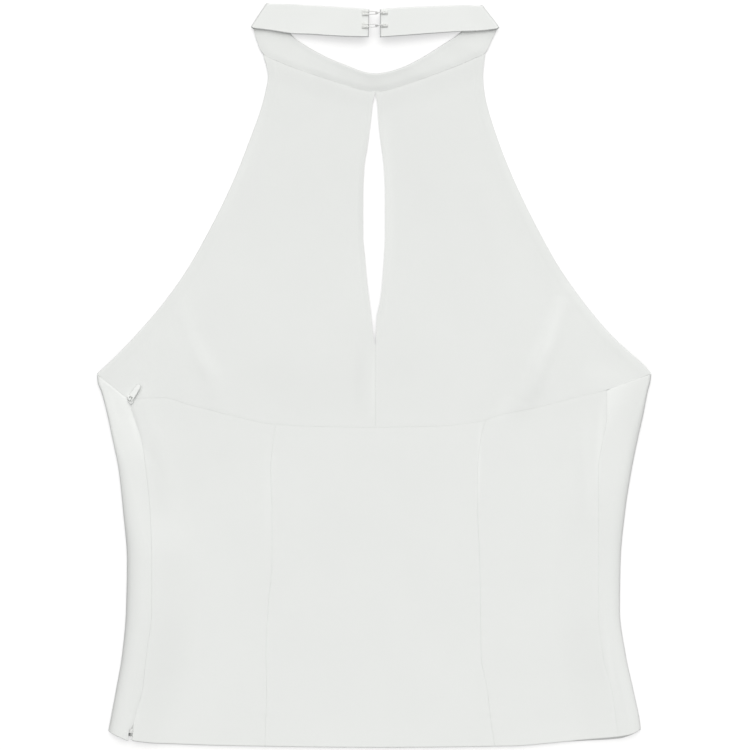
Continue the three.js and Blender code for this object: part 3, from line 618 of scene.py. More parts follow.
@dataclass(frozen=True)
class SeamRelief:
    """The soft valley of a pressed seam and its small uneven puckers."""

    depth: float = 0.3
    half_width: float = 1.3
    pucker: float = 0.12
    reach: float = 4.5
    lengths: tuple[float, ...] = (7.3, 11.9, 19.7)
    seed: int = 1
    foot: float = 0.0
    head: float = 0.0

    def lift(self, distance: Array, along: Array) -> Array:
        """How far the seam lifts the cloth.

        Args:
            distance: how far the cloth lies from the seam.
            along: its place along the seam, the same on both sides of it.

        Returns:
            The lift at each point, less than nothing in the valley.
        """
        deeper = 1 + self.foot * (1 - ease(along, -262, -222)) + self.head * ease(along, -62, -40)
        valley = -self.depth * deeper * np.exp(-((distance / self.half_width) ** 2))
        strength = 0.55 + 0.45 * wander(along, (83.0, 47.0), self.seed + 50)
        puckers = self.pucker * strength * wander(along, self.lengths, self.seed)
        return valley + puckers * np.exp(-distance / self.reach)


@dataclass(frozen=True)
class EdgeRoll:
    """An edge that is turned and rolled: a raised band with a groove along its inside."""

    width: float
    height: float
    groove: float

    def lift(self, distance: Array) -> Array:
        """How far the roll lifts the cloth at a distance from the edge."""
        band = self.height * (1 - ease(distance, 0.6 * self.width, self.width))
        inside = self.groove * np.exp(-(((distance - 1.1 * self.width) / 1.1) ** 2))
        return band - inside


class Relief:
    """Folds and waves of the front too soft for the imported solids."""

    creases: tuple[Crease, ...] = (
        Crease(-0.5, 5.0, ((129, 54), (123, 37), (119, 26), (113, 12), (108, -4))),
        Crease(-0.3, 6.0, ((-128, 38), (-121, 18), (-112, 0))),
        Crease(0.25, 4.0, ((-0.5, 18), (0, -4), (0, -34))),
        Crease(-0.35, 5.0, ((-9.5, 34), (-9, 8), (-10, -28))),
        Crease(-0.35, 16.0, ((-96, 2), (-70, -12), (-52, -20))),
        Crease(0.3, 10.0, ((-60, 26), (-52, 60), (-48, 110))),
        Crease(-0.25, 12.0, ((56, 20), (50, 70), (46, 120))),
        Crease(0.3, 9.0, ((92, 70), (84, 110), (76, 150))),
        Crease(0.25, 14.0, ((-24, -60), (-28, -120), (-22, -200))),
        Crease(-0.25, 12.0, ((18, -70), (22, -140), (20, -230))),
        Crease(0.25, 12.0, ((120, -60), (118, -130), (126, -220))),
        Crease(-0.2, 12.0, ((-120, -70), (-116, -140), (-124, -220))),
        Crease(0.35, 5.0, ((150, -30), (153, -80), (152, -110))),
        Crease(-0.4, 3.5, ((-189, -10), (-190, -20), (-186, -34))),
    )

    @classmethod
    def lift(cls, plan: Array) -> Array:
        """How far the folds and waves lift the cloth at points of the plan."""
        x, y = plan[..., 0], plan[..., 1]
        folds = sum(crease.lift(plan) for crease in cls.creases)
        upright = wander(x + 0.08 * y, (97.0, 61.0, 41.0), 11) * wander(y, (310.0, 190.0), 12)
        slanting = wander(0.8 * y - 0.5 * x, (133.0, 87.0), 13)
        return folds + 0.14 * upright + 0.10 * slanting


@dataclass(frozen=True)
class Tint:
    """A soft stripe of lighter or darker colour: over more layers below, or painted light and shade along a
    crease, fold, seam or edge.
    """

    tone: float
    half_width: float
    path: tuple[tuple[float, float], ...]

    def at(self, plan: Array) -> Array:
        """Its share of extra reflectance at points of the plan."""
        return Crease(self.tone, self.half_width, self.path).lift(plan)


class Tones:
    """Unevenness of tone of the front: lighter over the seam allowances and facings below it, with painted
    light and shade along creases, folds, seams and edges.
    """

    tints: tuple[Tint, ...] = (
        # Lighter over the seam allowances below the princess and side seams.
        Tint(0.055, 1.1, ((77.2, -34), (76.2, -50), (75.8, -70), (75, -96))),
        Tint(0.02, 4.0, ((-75, -50), (-77, -80), (-77, -120))),
        Tint(0.035, 2.2, ((165.5, -16), (163, -50), (161.5, -78))),
        Tint(0.02, 2.6, ((165.5, -178), (170, -205), (173.5, -240))),
        # Darker beside the zip seam.
        Tint(-0.024, 8.0, ((-159, -38), (-157, -69), (-155, -105))),
        # A lighter line beside the top of the zip seam and a darker line along it.
        Tint(0.03, 1.6, ((-179.5, -22), (-174.5, -36), (-171, -50))),
        Tint(-0.03, 1.4, ((-176, -22), (-171.5, -36), (-168, -50))),
        # Painted shade on the left fold's flank, where it turns down.
        Tint(-0.012, 4.0, ((-192, -22), (-189, -38), (-185, -60))),
        # Painted light along both corner seams, lifting the shade in their gaps.
        Tint(0.018, 1.2, ((-198, -2.4), (-188, -9.5), (-179.5, -16.3))),
        Tint(0.03, 1.2, ((197, -0.4), (185, -4.8), (170, -10.4))),
        # Painted shade in the trough left of the centre seam, and a painted highlight on the ridge beside it.
        Tint(-0.022, 3.5, ((-11, 18), (-11.5, -6), (-11.5, -30))),
        Tint(0.03, 2.4, ((-1, 16), (-1, -4), (-1, -32))),
        # Painted highlight along the crease of the right bust.
        Tint(0.038, 6.0, ((136, 52), (129, 30), (126, 14), (119, 0))),
        # A lighter patch across the seam under the right bust.
        Tint(0.02, 5.0, ((98, -14), (92, -26), (90, -34))),
        # Painted highlight along the crease of the left bust.
        Tint(0.02, 7.0, ((-150, 34), (-134, 22), (-124, 6))),
        # A lighter patch above the right corner seam.
        Tint(0.03, 9.0, ((150, 2), (170, 1), (192, -3))),
        # Painted shade on the right fold's flank, where it turns down.
        Tint(-0.025, 6.0, ((193, -12), (189, -30), (186, -60))),
        # Lighter over the facings below both armholes.
        Tint(0.034, 4.6, ((82, 206), (86, 180), (95, 155), (105, 132), (117, 108), (131, 82))),
        Tint(0.034, 4.6, ((131, 82), (148, 57), (167, 34), (181, 21), (194, 4))),
        Tint(0.03, 4.2, ((-80, 204), (-84, 180), (-93, 155), (-104, 130), (-115, 106))),
        # Painted highlight on the right edge of the keyhole, and painted shade on its rolled-under left edge.
        Tint(0.028, 3.4, ((7, 188), (10, 160), (11, 125), (11, 95), (8, 66))),
        Tint(-0.035, 1.6, ((-4, 180), (-7.5, 158), (-9.2, 130), (-9.2, 100), (-7, 75))),
    )

    @classmethod
    def of(cls, plan: Array) -> Array:
        """Extra reflectance at points of the plan: the layer tone and the painted light and shade."""
        x, y = plan[..., 0], plan[..., 1]
        # Painted shade: the upper front a little darker, as where the bust slopes away from the light.
        upper = -0.012 * ease(y, -45, -20)
        # A little lighter towards the right.
        right = 0.006 * ease(x, -40, 150)
        return upper + right + sum(tint.at(plan) for tint in cls.tints)


# Finishes


class Term:
    """A shader socket that takes part in arithmetic."""

    def __init__(self, nodes: "NodeBook", socket: bpy.types.NodeSocket) -> None:
        """Keeps the socket and the book that makes its nodes."""
        self.nodes = nodes
        self.socket = socket

    def _with(self, operation: str, first: Any, second: Any) -> "Term":
        """Adds a Math node on two values."""
        return self.nodes.add("ShaderNodeMath", {"operation": operation}, {0: first, 1: second})

    def __add__(self, other: Any) -> "Term":
        """Sum."""
        return self._with("ADD", self, other)

    __radd__ = __add__

    def __sub__(self, other: Any) -> "Term":
        """Difference."""
        return self._with("SUBTRACT", self, other)

    def __rsub__(self, other: Any) -> "Term":
        """Difference from a number."""
        return self._with("SUBTRACT", other, self)

    def __mul__(self, other: Any) -> "Term":
        """Product."""
        return self._with("MULTIPLY", self, other)

    __rmul__ = __mul__

    def sine(self) -> "Term":
        """Its sine, taken as radians."""
        return self.nodes.add("ShaderNodeMath", {"operation": "SINE"}, {0: self})

    def absolute(self) -> "Term":
        """Its size without its sign."""
        return self.nodes.add("ShaderNodeMath", {"operation": "ABSOLUTE"}, {0: self})


class NodeBook:
    """Makes the nodes of one material."""

    def __init__(self, material: bpy.types.Material) -> None:
        """Opens an empty tree for the material."""
        material.use_nodes = True
        self.tree = material.node_tree
        self.tree.nodes.clear()

    def add(self, kind: str, settings: dict[str, Any], values: dict[Any, Any], output: Any = 0) -> Term:
        """Adds a node.

        Args:
            kind: the node's type.
            settings: properties that are set first.
            values: numbers, colours or terms for its input sockets.
            output: name or number of the output socket that is wanted.

        Returns:
            The output socket as a term.
        """
        node = self.tree.nodes.new(kind)
        for name, value in settings.items():
            setattr(node, name, value)
        for name, value in values.items():
            if isinstance(value, Term):
                self.tree.links.new(value.socket, node.inputs[name])
            else:
                node.inputs[name].default_value = value
        return Term(self, node.outputs[output])

    def colour(self, first: Sequence[float], second: Sequence[float], share: Term) -> Term:
        """A colour between two by a share."""
        values = {"Factor": share, "A": (*first, 1.0), "B": (*second, 1.0)}
        mix = self.tree.nodes.new("ShaderNodeMix")
        mix.data_type = "RGBA"
        sockets = {"Factor": mix.inputs[0], "A": mix.inputs[6], "B": mix.inputs[7]}
        self.tree.links.new(share.socket, sockets["Factor"])
        sockets["A"].default_value = values["A"]
        sockets["B"].default_value = values["B"]
        return Term(self, mix.outputs[2])

    def noise(self, place: Term, scale: float, detail: float = 2.0) -> Term:
        """Noise from 0 to 1 at a scale in cycles a metre."""
        values = {"Vector": place, "Scale": scale, "Detail": detail, "Roughness": 0.55}
        return self.add("ShaderNodeTexNoise", {}, values)

    def finish(self, values: dict[str, Any]) -> None:
        """Ends the tree in a Principled surface with these socket values."""
        surface = self.add("ShaderNodeBsdfPrincipled", {}, values)
        end = self.tree.nodes.new("ShaderNodeOutputMaterial")
        self.tree.links.new(surface.socket, end.inputs["Surface"])


@dataclass(frozen=True)
class Crepe:
    """Matt crepe: a fine twill with a pebbled thread, very slight unevenness of tone, and the painted light
    and shade that the pieces carry in their tone attribute.
    """

    name: str = "crepe"
    light: tuple[float, float, float] = (0.8475, 0.8625, 0.8485)
    shade: tuple[float, float, float] = (0.565, 0.575, 0.5655)
    roughness: float = 0.82
    sheen: float = 0.12
    pitch: float = 0.00046
    thread_relief: float = 0.00003
    tone_scale: float = 2.5

    def build(self) -> bpy.types.Material:
        """Makes the material."""
        material = bpy.data.materials.new(self.name)
        book = NodeBook(material)
        place = book.add("ShaderNodeUVMap", {"uv_map": "cloth"}, {})
        x = book.add("ShaderNodeSeparateXYZ", {}, {"Vector": place}, "X")
        y = book.add("ShaderNodeSeparateXYZ", {}, {"Vector": place}, "Y")
        turn = 2 * math.pi / self.pitch
        slub = book.noise(place, 900.0, 3.0)
        twill = (x * turn + y * (turn * 0.6) + slub * 2.5).sine()
        weft = (y * (turn * 1.15) + slub * 1.5).sine()
        pebble = book.noise(place, 2600.0, 2.0)
        height = twill * 0.35 + weft * 0.15 + pebble * 1.1
        soft = book.noise(place, 22.0, 3.0)
        grain = book.noise(place, 700.0, 2.0)
        # The pieces' tone attribute holds the layer tone and their painted light and shade.
        tone = book.add("ShaderNodeAttribute", {"attribute_name": "tone"}, {}, "Fac")
        uneven = soft * 0.07 + grain * 0.05 + twill * 0.012
        share = uneven + tone * self.tone_scale + 0.44
        bump = book.add(
            "ShaderNodeBump", {}, {"Strength": 0.5, "Distance": self.thread_relief, "Height": height}
        )
        book.finish(
            {
                "Base Color": book.colour(self.shade, self.light, share),
                "Roughness": self.roughness + grain * 0.08 - 0.04,
                "Sheen Weight": self.sheen,
                "Sheen Roughness": 0.5,
                "Specular IOR Level": 0.3,
                "Normal": bump,
            }
        )
        return material


@dataclass(frozen=True)
class TapeWeave:
    """Close herringbone tape of a zip."""

    name: str = "zip_tape"
    light: tuple[float, float, float] = (0.82, 0.82, 0.81)
    shade: tuple[float, float, float] = (0.7, 0.7, 0.69)
    pitch: float = 0.0005

    def build(self) -> bpy.types.Material:
        """Makes the material."""
        material = bpy.data.materials.new(self.name)
        book = NodeBook(material)
        place = book.add("ShaderNodeUVMap", {"uv_map": "cloth"}, {})
        x = book.add("ShaderNodeSeparateXYZ", {}, {"Vector": place}, "X")
        y = book.add("ShaderNodeSeparateXYZ", {}, {"Vector": place}, "Y")
        turn = 2 * math.pi / self.pitch
        rib = (x.absolute() * (turn * 0.8) + y * turn).sine()
        pick = (x * (turn * 1.4)).sine()
        height = rib * 0.7 + pick * 0.3
        bump = book.add("ShaderNodeBump", {}, {"Strength": 0.7, "Distance": 0.00006, "Height": height})
        book.finish(
            {
                "Base Color": book.colour(self.shade, self.light, height * 0.3 + 0.6),
                "Roughness": 0.78 + rib * 0.04,
                "Normal": bump,
            }
        )
        return material


@dataclass(frozen=True)
class Enamel:
    """Smooth enamel on metal with a cloudy unevenness of tone."""

    name: str
    light: tuple[float, float, float]
    shade: tuple[float, float, float]
    roughness: float
    metallic: float
    orange_peel: float = 0.00001

    def build(self) -> bpy.types.Material:
        """Makes the material."""
        material = bpy.data.materials.new(self.name)
        book = NodeBook(material)
        place = book.add("ShaderNodeTexCoord", {}, {}, "Object")
        cloud = book.noise(place, 900.0, 3.0)
        peel = book.noise(place, 5200.0, 2.0)
        bump = book.add("ShaderNodeBump", {}, {"Strength": 0.4, "Distance": self.orange_peel, "Height": peel})
        book.finish(
            {
                "Base Color": book.colour(self.shade, self.light, cloud * 1.1),
                "Roughness": self.roughness + cloud * 0.15,
                "Metallic": self.metallic,
                "Coat Weight": 0.2,
                "Coat Roughness": 0.2,
                "Normal": bump,
            }
        )
        return material


@dataclass(frozen=True)
class Thread:
    """Twisted sewing thread."""

    name: str = "thread"
    light: tuple[float, float, float] = (0.93, 0.94, 0.92)
    shade: tuple[float, float, float] = (0.78, 0.79, 0.77)

    def build(self) -> bpy.types.Material:
        """Makes the material."""
        material = bpy.data.materials.new(self.name)
        book = NodeBook(material)
        place = book.add("ShaderNodeTexCoord", {}, {}, "Object")
        x = book.add("ShaderNodeSeparateXYZ", {}, {"Vector": place}, "X")
        y = book.add("ShaderNodeSeparateXYZ", {}, {"Vector": place}, "Y")
        twist = (x * 26000.0 + y * 21000.0).sine()
        fuzz = book.noise(place, 6000.0, 2.0)
        height = twist * 0.5 + fuzz
        bump = book.add("ShaderNodeBump", {}, {"Strength": 0.6, "Distance": 0.00003, "Height": height})
        book.finish(
            {
                "Base Color": book.colour(self.shade, self.light, twist * 0.25 + fuzz * 0.9),
                "Roughness": 0.7 + fuzz * 0.1,
                "Normal": bump,
            }
        )
        return material


@dataclass(frozen=True)
class Paper:
    """Plain white surface that the top lies on."""

    name: str = "backdrop"

    def build(self) -> bpy.types.Material:
        """Makes the material."""
        material = bpy.data.materials.new(self.name)
        book = NodeBook(material)
        place = book.add("ShaderNodeTexCoord", {}, {}, "Object")
        grain = book.noise(place, 300.0, 2.0)
        book.finish(
            {
                "Base Color": book.colour((0.49, 0.49, 0.49), (0.51, 0.51, 0.51), grain),
                "Roughness": 0.9,
                "Emission Color": (1.0, 1.0, 1.0, 1.0),
                "Emission Strength": 0.5,
            }
        )
        return material


class Dresser:
    """Gives pieces their finish and body, and keeps the finishes that it made."""

    def __init__(self) -> None:
        """Makes the finishes once."""
        self.crepe = Crepe().build()
        self.tape = TapeWeave().build()
        self.enamel = Enamel("enamel", (0.75, 0.765, 0.75), (0.71, 0.72, 0.71), 0.45, 0.0).build()
        self.wire = Enamel("hook_wire", (0.77, 0.77, 0.76), (0.66, 0.66, 0.66), 0.35, 0.1).build()
        self.thread = Thread().build()

    def dress(
        self,
        piece: bpy.types.Object,
        finish: bpy.types.Material,
        body: Body = Body.GARMENT,
        nodes: Sequence[str] = (),
    ) -> bpy.types.Object:
        """Finishes one piece.

        Args:
            piece: the piece, in place.
            finish: its material.
            body: the body that it rides on.
            nodes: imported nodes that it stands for.

        Returns:
            The same piece.
        """
        piece.data.materials.clear()
        piece.data.materials.append(finish)
        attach(piece, body.value)
        if nodes:
            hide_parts(*nodes)
        LOG.info("%s: %d faces", piece.name, len(piece.data.polygons))
        return piece


def flat_area(points: Array) -> float:
    """Area in square metres of a grid of points in millimetres."""
    one = points[1:, 1:] - points[:-1, :-1]
    two = points[1:, :-1] - points[:-1, 1:]
    if points.shape[-1] == 2:
        return float(np.abs(np.cross(one, two)).sum() / 2) * MM * MM
    return float(np.linalg.norm(np.cross(one, two), axis=-1).sum() / 2) * MM * MM


# Pieces of the garment


@dataclass(frozen=True)
class Cut:
    """The flat piece of cloth that a piece was cut as: its width, length and area in metres."""

    width: float
    length: float
    area: float

    def declare(self, piece: bpy.types.Object, held: str, rests_on: Sequence[str]) -> None:
        """Does nothing with the piece: no cut is recorded on it."""


@dataclass(frozen=True)
class Rim:
    """How one edge of a panel is finished."""

    radius: float
    seam: Optional[SeamRelief] = None
    roll: Optional[EdgeRoll] = None
    along_x: bool = False
    roll_above: float = -1000.0

    def lift(self, distance: Array, plan: Array) -> Array:
        """How far the edge's finish lifts the cloth.

        Args:
            distance: how far each point lies from the edge.
            plan: the points themselves.

        Returns:
            The lift at each point.
        """
        total = np.zeros(distance.shape)
        above = ease(plan[..., 1], self.roll_above - 3, self.roll_above + 3)
        if self.seam:
            along = plan[..., 0] if self.along_x else plan[..., 1]
            share = 1 - above if self.roll else 1.0
            total = total + share * self.seam.lift(distance, along)
        if self.roll:
            total = total + above * self.roll.lift(distance)
        return total


PRINCESS_RIM = Rim(0.03, SeamRelief(0.07, 1.5, 0.07, 4.0, (7.3, 11.9, 19.7), 21))
SIDE_RIM = Rim(0.03, SeamRelief(0.08, 1.5, 0.06, 4.0, (8.1, 13.3, 23.9), 31))
ZIP_RIM = Rim(0.03, SeamRelief(0.08, 1.3, 0.06, 3.0, (9.7, 17.3, 29.3), 41, 4.0, 3.0))
UNDERBUST_RIM = Rim(0.03, SeamRelief(0.05, 1.6, 0.05, 4.0, (8.7, 14.9, 26.3), 51), along_x=True)
HEM_RIM = Rim(0.7)
ARMHOLE_RIM = Rim(0.65, roll=EdgeRoll(7.5, 0.16, 0.0))
BAND_SEAM_RIM = Rim(0.03, SeamRelief(0.05, 1.6, 0.05, 5.0, (9.9, 16.1, 31.0), 71), along_x=True)
MIDDLE_RIM = Rim(
    0.03,
    SeamRelief(0.07, 1.6, 0.04, 4.0, (9.3, 21.0), 81),
    EdgeRoll(3.6, 0.2, 0.04),
    roll_above=24.0,
)
RIM_STEPS = (0.0, 0.015, 0.03, 0.04, 0.12, 0.3, 0.65, 1.2, 2.0)


@dataclass
class FrontPanel:
    """One panel of the layer that faces up."""

    name: str
    form: BodyForm
    edges: Edges
    size: tuple[float, float]
    rims: dict[str, Rim]
    cut: Cut
    step: float = 1.55
    band_lift: float = 0.45
    band_reach: float = 16.0

    def shape(self, across: Array, up: Array) -> Wall:
        """Points of the panel's wall for a grid of shares.

        Args:
            across: shares from its left edge to its right edge.
            up: shares from its bottom edge to its top edge.

        Returns:
            The wall.
        """
        plan = self.edges.plan(across, up)
        paths = {"bottom": plan[0], "top": plan[-1], "left": plan[:, 0], "right": plan[:, -1]}
        width, length = self.size
        reaches = {"bottom": up * length, "top": (1 - up) * length}
        reaches |= {"left": across * width, "right": (1 - across) * width}
        share = np.ones(plan.shape[:2])
        finish = np.zeros(plan.shape[:2])
        for edge, rim in self.rims.items():
            distance, _ = nearest_on_path(plan, paths[edge])
            share = np.minimum(share, round_edge(reaches[edge], rim.radius))
            finish += rim.lift(distance, plan)
        under = self.form.underside(plan)
        if "upper" in self.name:
            to_band, _ = nearest_on_path(plan, paths["top"])
            under = under + self.band_lift * (1 - ease(to_band, 0, self.band_reach))
        soft = Relief.lift(plan)
        low = under + np.maximum(soft, 0)
        high = under + self.form.wall + soft + finish
        middle = (low + high) / 2
        upper = np.dstack([plan, middle + (high - middle) * share])
        lower = np.dstack([plan, middle + (low - middle) * share])
        return Wall(upper, lower, plan, Tones.of(plan))

    def build(self, dresser: Dresser) -> bpy.types.Object:
        """Makes and finishes the panel.

        Args:
            dresser: gives it its finish.

        Returns:
            The panel.
        """
        across = dense_at_ends(self.size[0], self.step, RIM_STEPS)
        up = dense_at_ends(self.size[1], self.step, RIM_STEPS)
        piece = Cloth.make(f"{self.name}_cloth", across, up, self.shape)
        dresser.dress(piece, dresser.crepe, nodes=[self.name])
        wall = self.shape(*np.meshgrid(across, up))
        low, high = wall.upper.min((0, 1)), wall.upper.max((0, 1))
        LOG.info("%s cut: %s area %.5f", self.name, (high - low)[:2], flat_area(wall.upper))
        self.cut.declare(piece, "laid", ["back_panel"])
        return piece


@dataclass
class Fronts:
    """The five front panels between the side seams, the armholes, the neckband and the hem."""

    form: BodyForm = field(default_factory=BodyForm)
    seam_gap: float = 0.005
    zip_gap: float = 0.02
    foot_gap: dict[int, float] = field(default_factory=lambda: {1: 0.5, -1: 2.6})
    foot_top: float = -255.6
    band_gap: float = 0.03
    closing_reach: float = 9.0

    def zip_half_gap(self, y: Array, side: int) -> Array:
        """The gap on one side of the zip's line, wider where the seam is left open at the hem."""
        low = 1 - ease(y, self.foot_top - 1.2, self.foot_top + 2.4)
        return self.zip_gap + (self.foot_gap[side] - self.zip_gap) * low

    def seam_edge(self, seam: str, top_y: float, side: int) -> Callable[[Array], Array]:
        """One side of a seam from the hem up.

        Args:
            seam: the seam's column.
            top_y: the height of its top.
            side: 1 for the edge to its right, -1 for the edge to its left.

        Returns:
            The edge as a function of a share.
        """
        curve = self.form.seams[seam]
        hem_y = self.form.crossing(curve, self.form.front_hem, -267.0)

        def edge(share: Array) -> Array:
            """Points of the edge."""
            y = blend_between(hem_y, top_y, share)
            gap = self.zip_half_gap(y, side) if seam == "side_left" else self.seam_gap
            return np.column_stack([curve(y) + side * gap, y])

        return edge

    def seam_top(self, seam: str) -> float:
        """Height at which a seam meets the seam under the bust."""
        if seam == "side_left":
            return SIDE_TOP[Side.LEFT][1]
        if seam == "side_right":
            return SIDE_TOP[Side.RIGHT][1]
        return self.form.crossing(self.form.seams[seam], self.form.underbust, -36.0)

    def lower(self, name: str, left: str, right: str, rims: tuple[Rim, Rim], cut: Cut) -> FrontPanel:
        """A lower front panel between two seams.

        Args:
            name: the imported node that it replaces.
            left: column of the seam on its left.
            right: column of the seam on its right.
            rims: finishes of its left and right edges.
            cut: its flat size.

        Returns:
            The panel.
        """
        left_y, right_y = self.seam_top(left), self.seam_top(right)
        left_edge = self.seam_edge(left, left_y, 1)
        right_edge = self.seam_edge(right, right_y, -1)
        ends = np.array([0.0, 1.0])
        left_x, right_x = left_edge(ends)[:, 0], right_edge(ends)[:, 0]

        def bottom(share: Array) -> Array:
            """The hem."""
            x = blend_between(left_x[0], right_x[0], share)
            return np.column_stack([x, self.form.front_hem(x)])

        def top(share: Array) -> Array:
            """The seam under the bust."""
            x = blend_between(left_x[1], right_x[1], share)
            return np.column_stack([x, self.form.underbust(x) - self.seam_gap])

        edges = Edges(bottom, top, left_edge, right_edge)
        finishes = {"bottom": HEM_RIM, "top": UNDERBUST_RIM, "left": rims[0], "right": rims[1]}
        width = right_x.mean() - left_x.mean()
        return FrontPanel(name, self.form, edges, (width, 245.0), finishes, cut)

    def middle(self, column: str, gap: float, end: Array) -> Callable[[Array], Array]:
        """The middle edge of an upper front: the centre seam, then the keyhole's side.

        Args:
            column: the keyhole's column.
            gap: from the centre seam to the edge, less than nothing to its left.
            end: the point at its top.

        Returns:
            The edge as a function of a share.
        """
        form = self.form
        opening = KEYHOLE.curve("y", column)
        closing = end[0] - float(opening(end[1]))
        start = float(form.underbust(form.centre_front)) + self.seam_gap
        foot_share = 0.25

        def edge(share: Array) -> Array:
            """Points of the edge."""
            y = np.interp(share, [0, foot_share, 1], [start, form.keyhole_foot, end[1]])
            seam = form.centre_front + gap
            closed = np.full(y.shape, seam)
            parted = opening(y) + (seam - opening(form.keyhole_foot)) * (1 - ease(y, 21.5, 30))
            parted = parted + closing * ease(y, end[1] - self.closing_reach, end[1])
            return np.column_stack([np.where(y < form.keyhole_foot, closed, parted), y])

        return edge

    def upper(self, side: Side, cut: Cut) -> FrontPanel:
        """An upper front panel from the armhole to the keyhole.

        Args:
            side: which of the two.
            cut: its flat size.

        Returns:
            The panel.
        """
        form = self.form
        column = side.name.lower()
        arm_x, gap = UNDERARM[side][0], side.value * self.seam_gap
        places = (2 / 16, 8 / 16) if side is Side.LEFT else (8 / 16, 14 / 16)
        ends = (arm_x, form.centre_front + gap)
        ends = ends if side is Side.LEFT else ends[::-1]
        armhole = ARMHOLE.curve("y", column)

        def bottom(share: Array) -> Array:
            """The seam under the bust."""
            x = blend_between(*ends, share)
            return np.column_stack([x, form.underbust(x) + self.seam_gap])

        def top(share: Array) -> Array:
            """The edge under the neckband."""
            edge = through(BAND_FRONT.points("seam_x", "seam_y"), blend_between(*places, share))
            return edge - np.array([0.0, self.band_gap])

        whole = np.array([0.0, 1.0])
        low, high = bottom(whole), top(whole)
        arm, inner = (0, 1) if side is Side.LEFT else (1, 0)

        def outer(share: Array) -> Array:
            """The armhole."""
            y = blend_between(low[arm, 1], high[arm, 1], share)
            return np.column_stack([armhole(y), y])

        middle = self.middle(column, gap, high[inner])
        left, right = (outer, middle) if side is Side.LEFT else (middle, outer)
        arm_edge, middle_edge = ("left", "right") if side is Side.LEFT else ("right", "left")
        rims = {
            "bottom": UNDERBUST_RIM,
            "top": BAND_SEAM_RIM,
            arm_edge: ARMHOLE_RIM,
            middle_edge: MIDDLE_RIM,
        }
        name = f"front_upper_{column}"
        return FrontPanel(name, form, Edges(bottom, top, left, right), (165.0, 245.0), rims, cut)

    def build(self, dresser: Dresser) -> None:
        """Makes all five panels."""
        rims = (ZIP_RIM, PRINCESS_RIM)
        left = self.lower("front_lower_left", "side_left", "princess_left", rims, LOWER_LEFT_CUT)
        rims = (PRINCESS_RIM, PRINCESS_RIM)
        centre = self.lower("front_lower_centre", "princess_left", "princess_right", rims, LOWER_CENTRE_CUT)
        rims = (PRINCESS_RIM, SIDE_RIM)
        right = self.lower("front_lower_right", "princess_right", "side_right", rims, LOWER_RIGHT_CUT)
        upper_left = self.upper(Side.LEFT, UPPER_LEFT_CUT)
        upper_right = self.upper(Side.RIGHT, UPPER_RIGHT_CUT)
        for panel in (left, centre, right, upper_left, upper_right):
            panel.build(dresser)


LOWER_LEFT_CUT = Cut(0.108, 0.253, 0.0222)
LOWER_CENTRE_CUT = Cut(0.167, 0.236, 0.0363)
LOWER_RIGHT_CUT = Cut(0.102, 0.259, 0.0218)
UPPER_LEFT_CUT = Cut(0.202, 0.271, 0.0322)
UPPER_RIGHT_CUT = Cut(0.200, 0.271, 0.0317)
BACK_CUT = Cut(0.46, 0.265, 0.1072)
BAND_CUT = Cut(0.366, 0.02, 0.00729)
TAPE_CUT = Cut(0.0122, 0.2475, 0.00302)


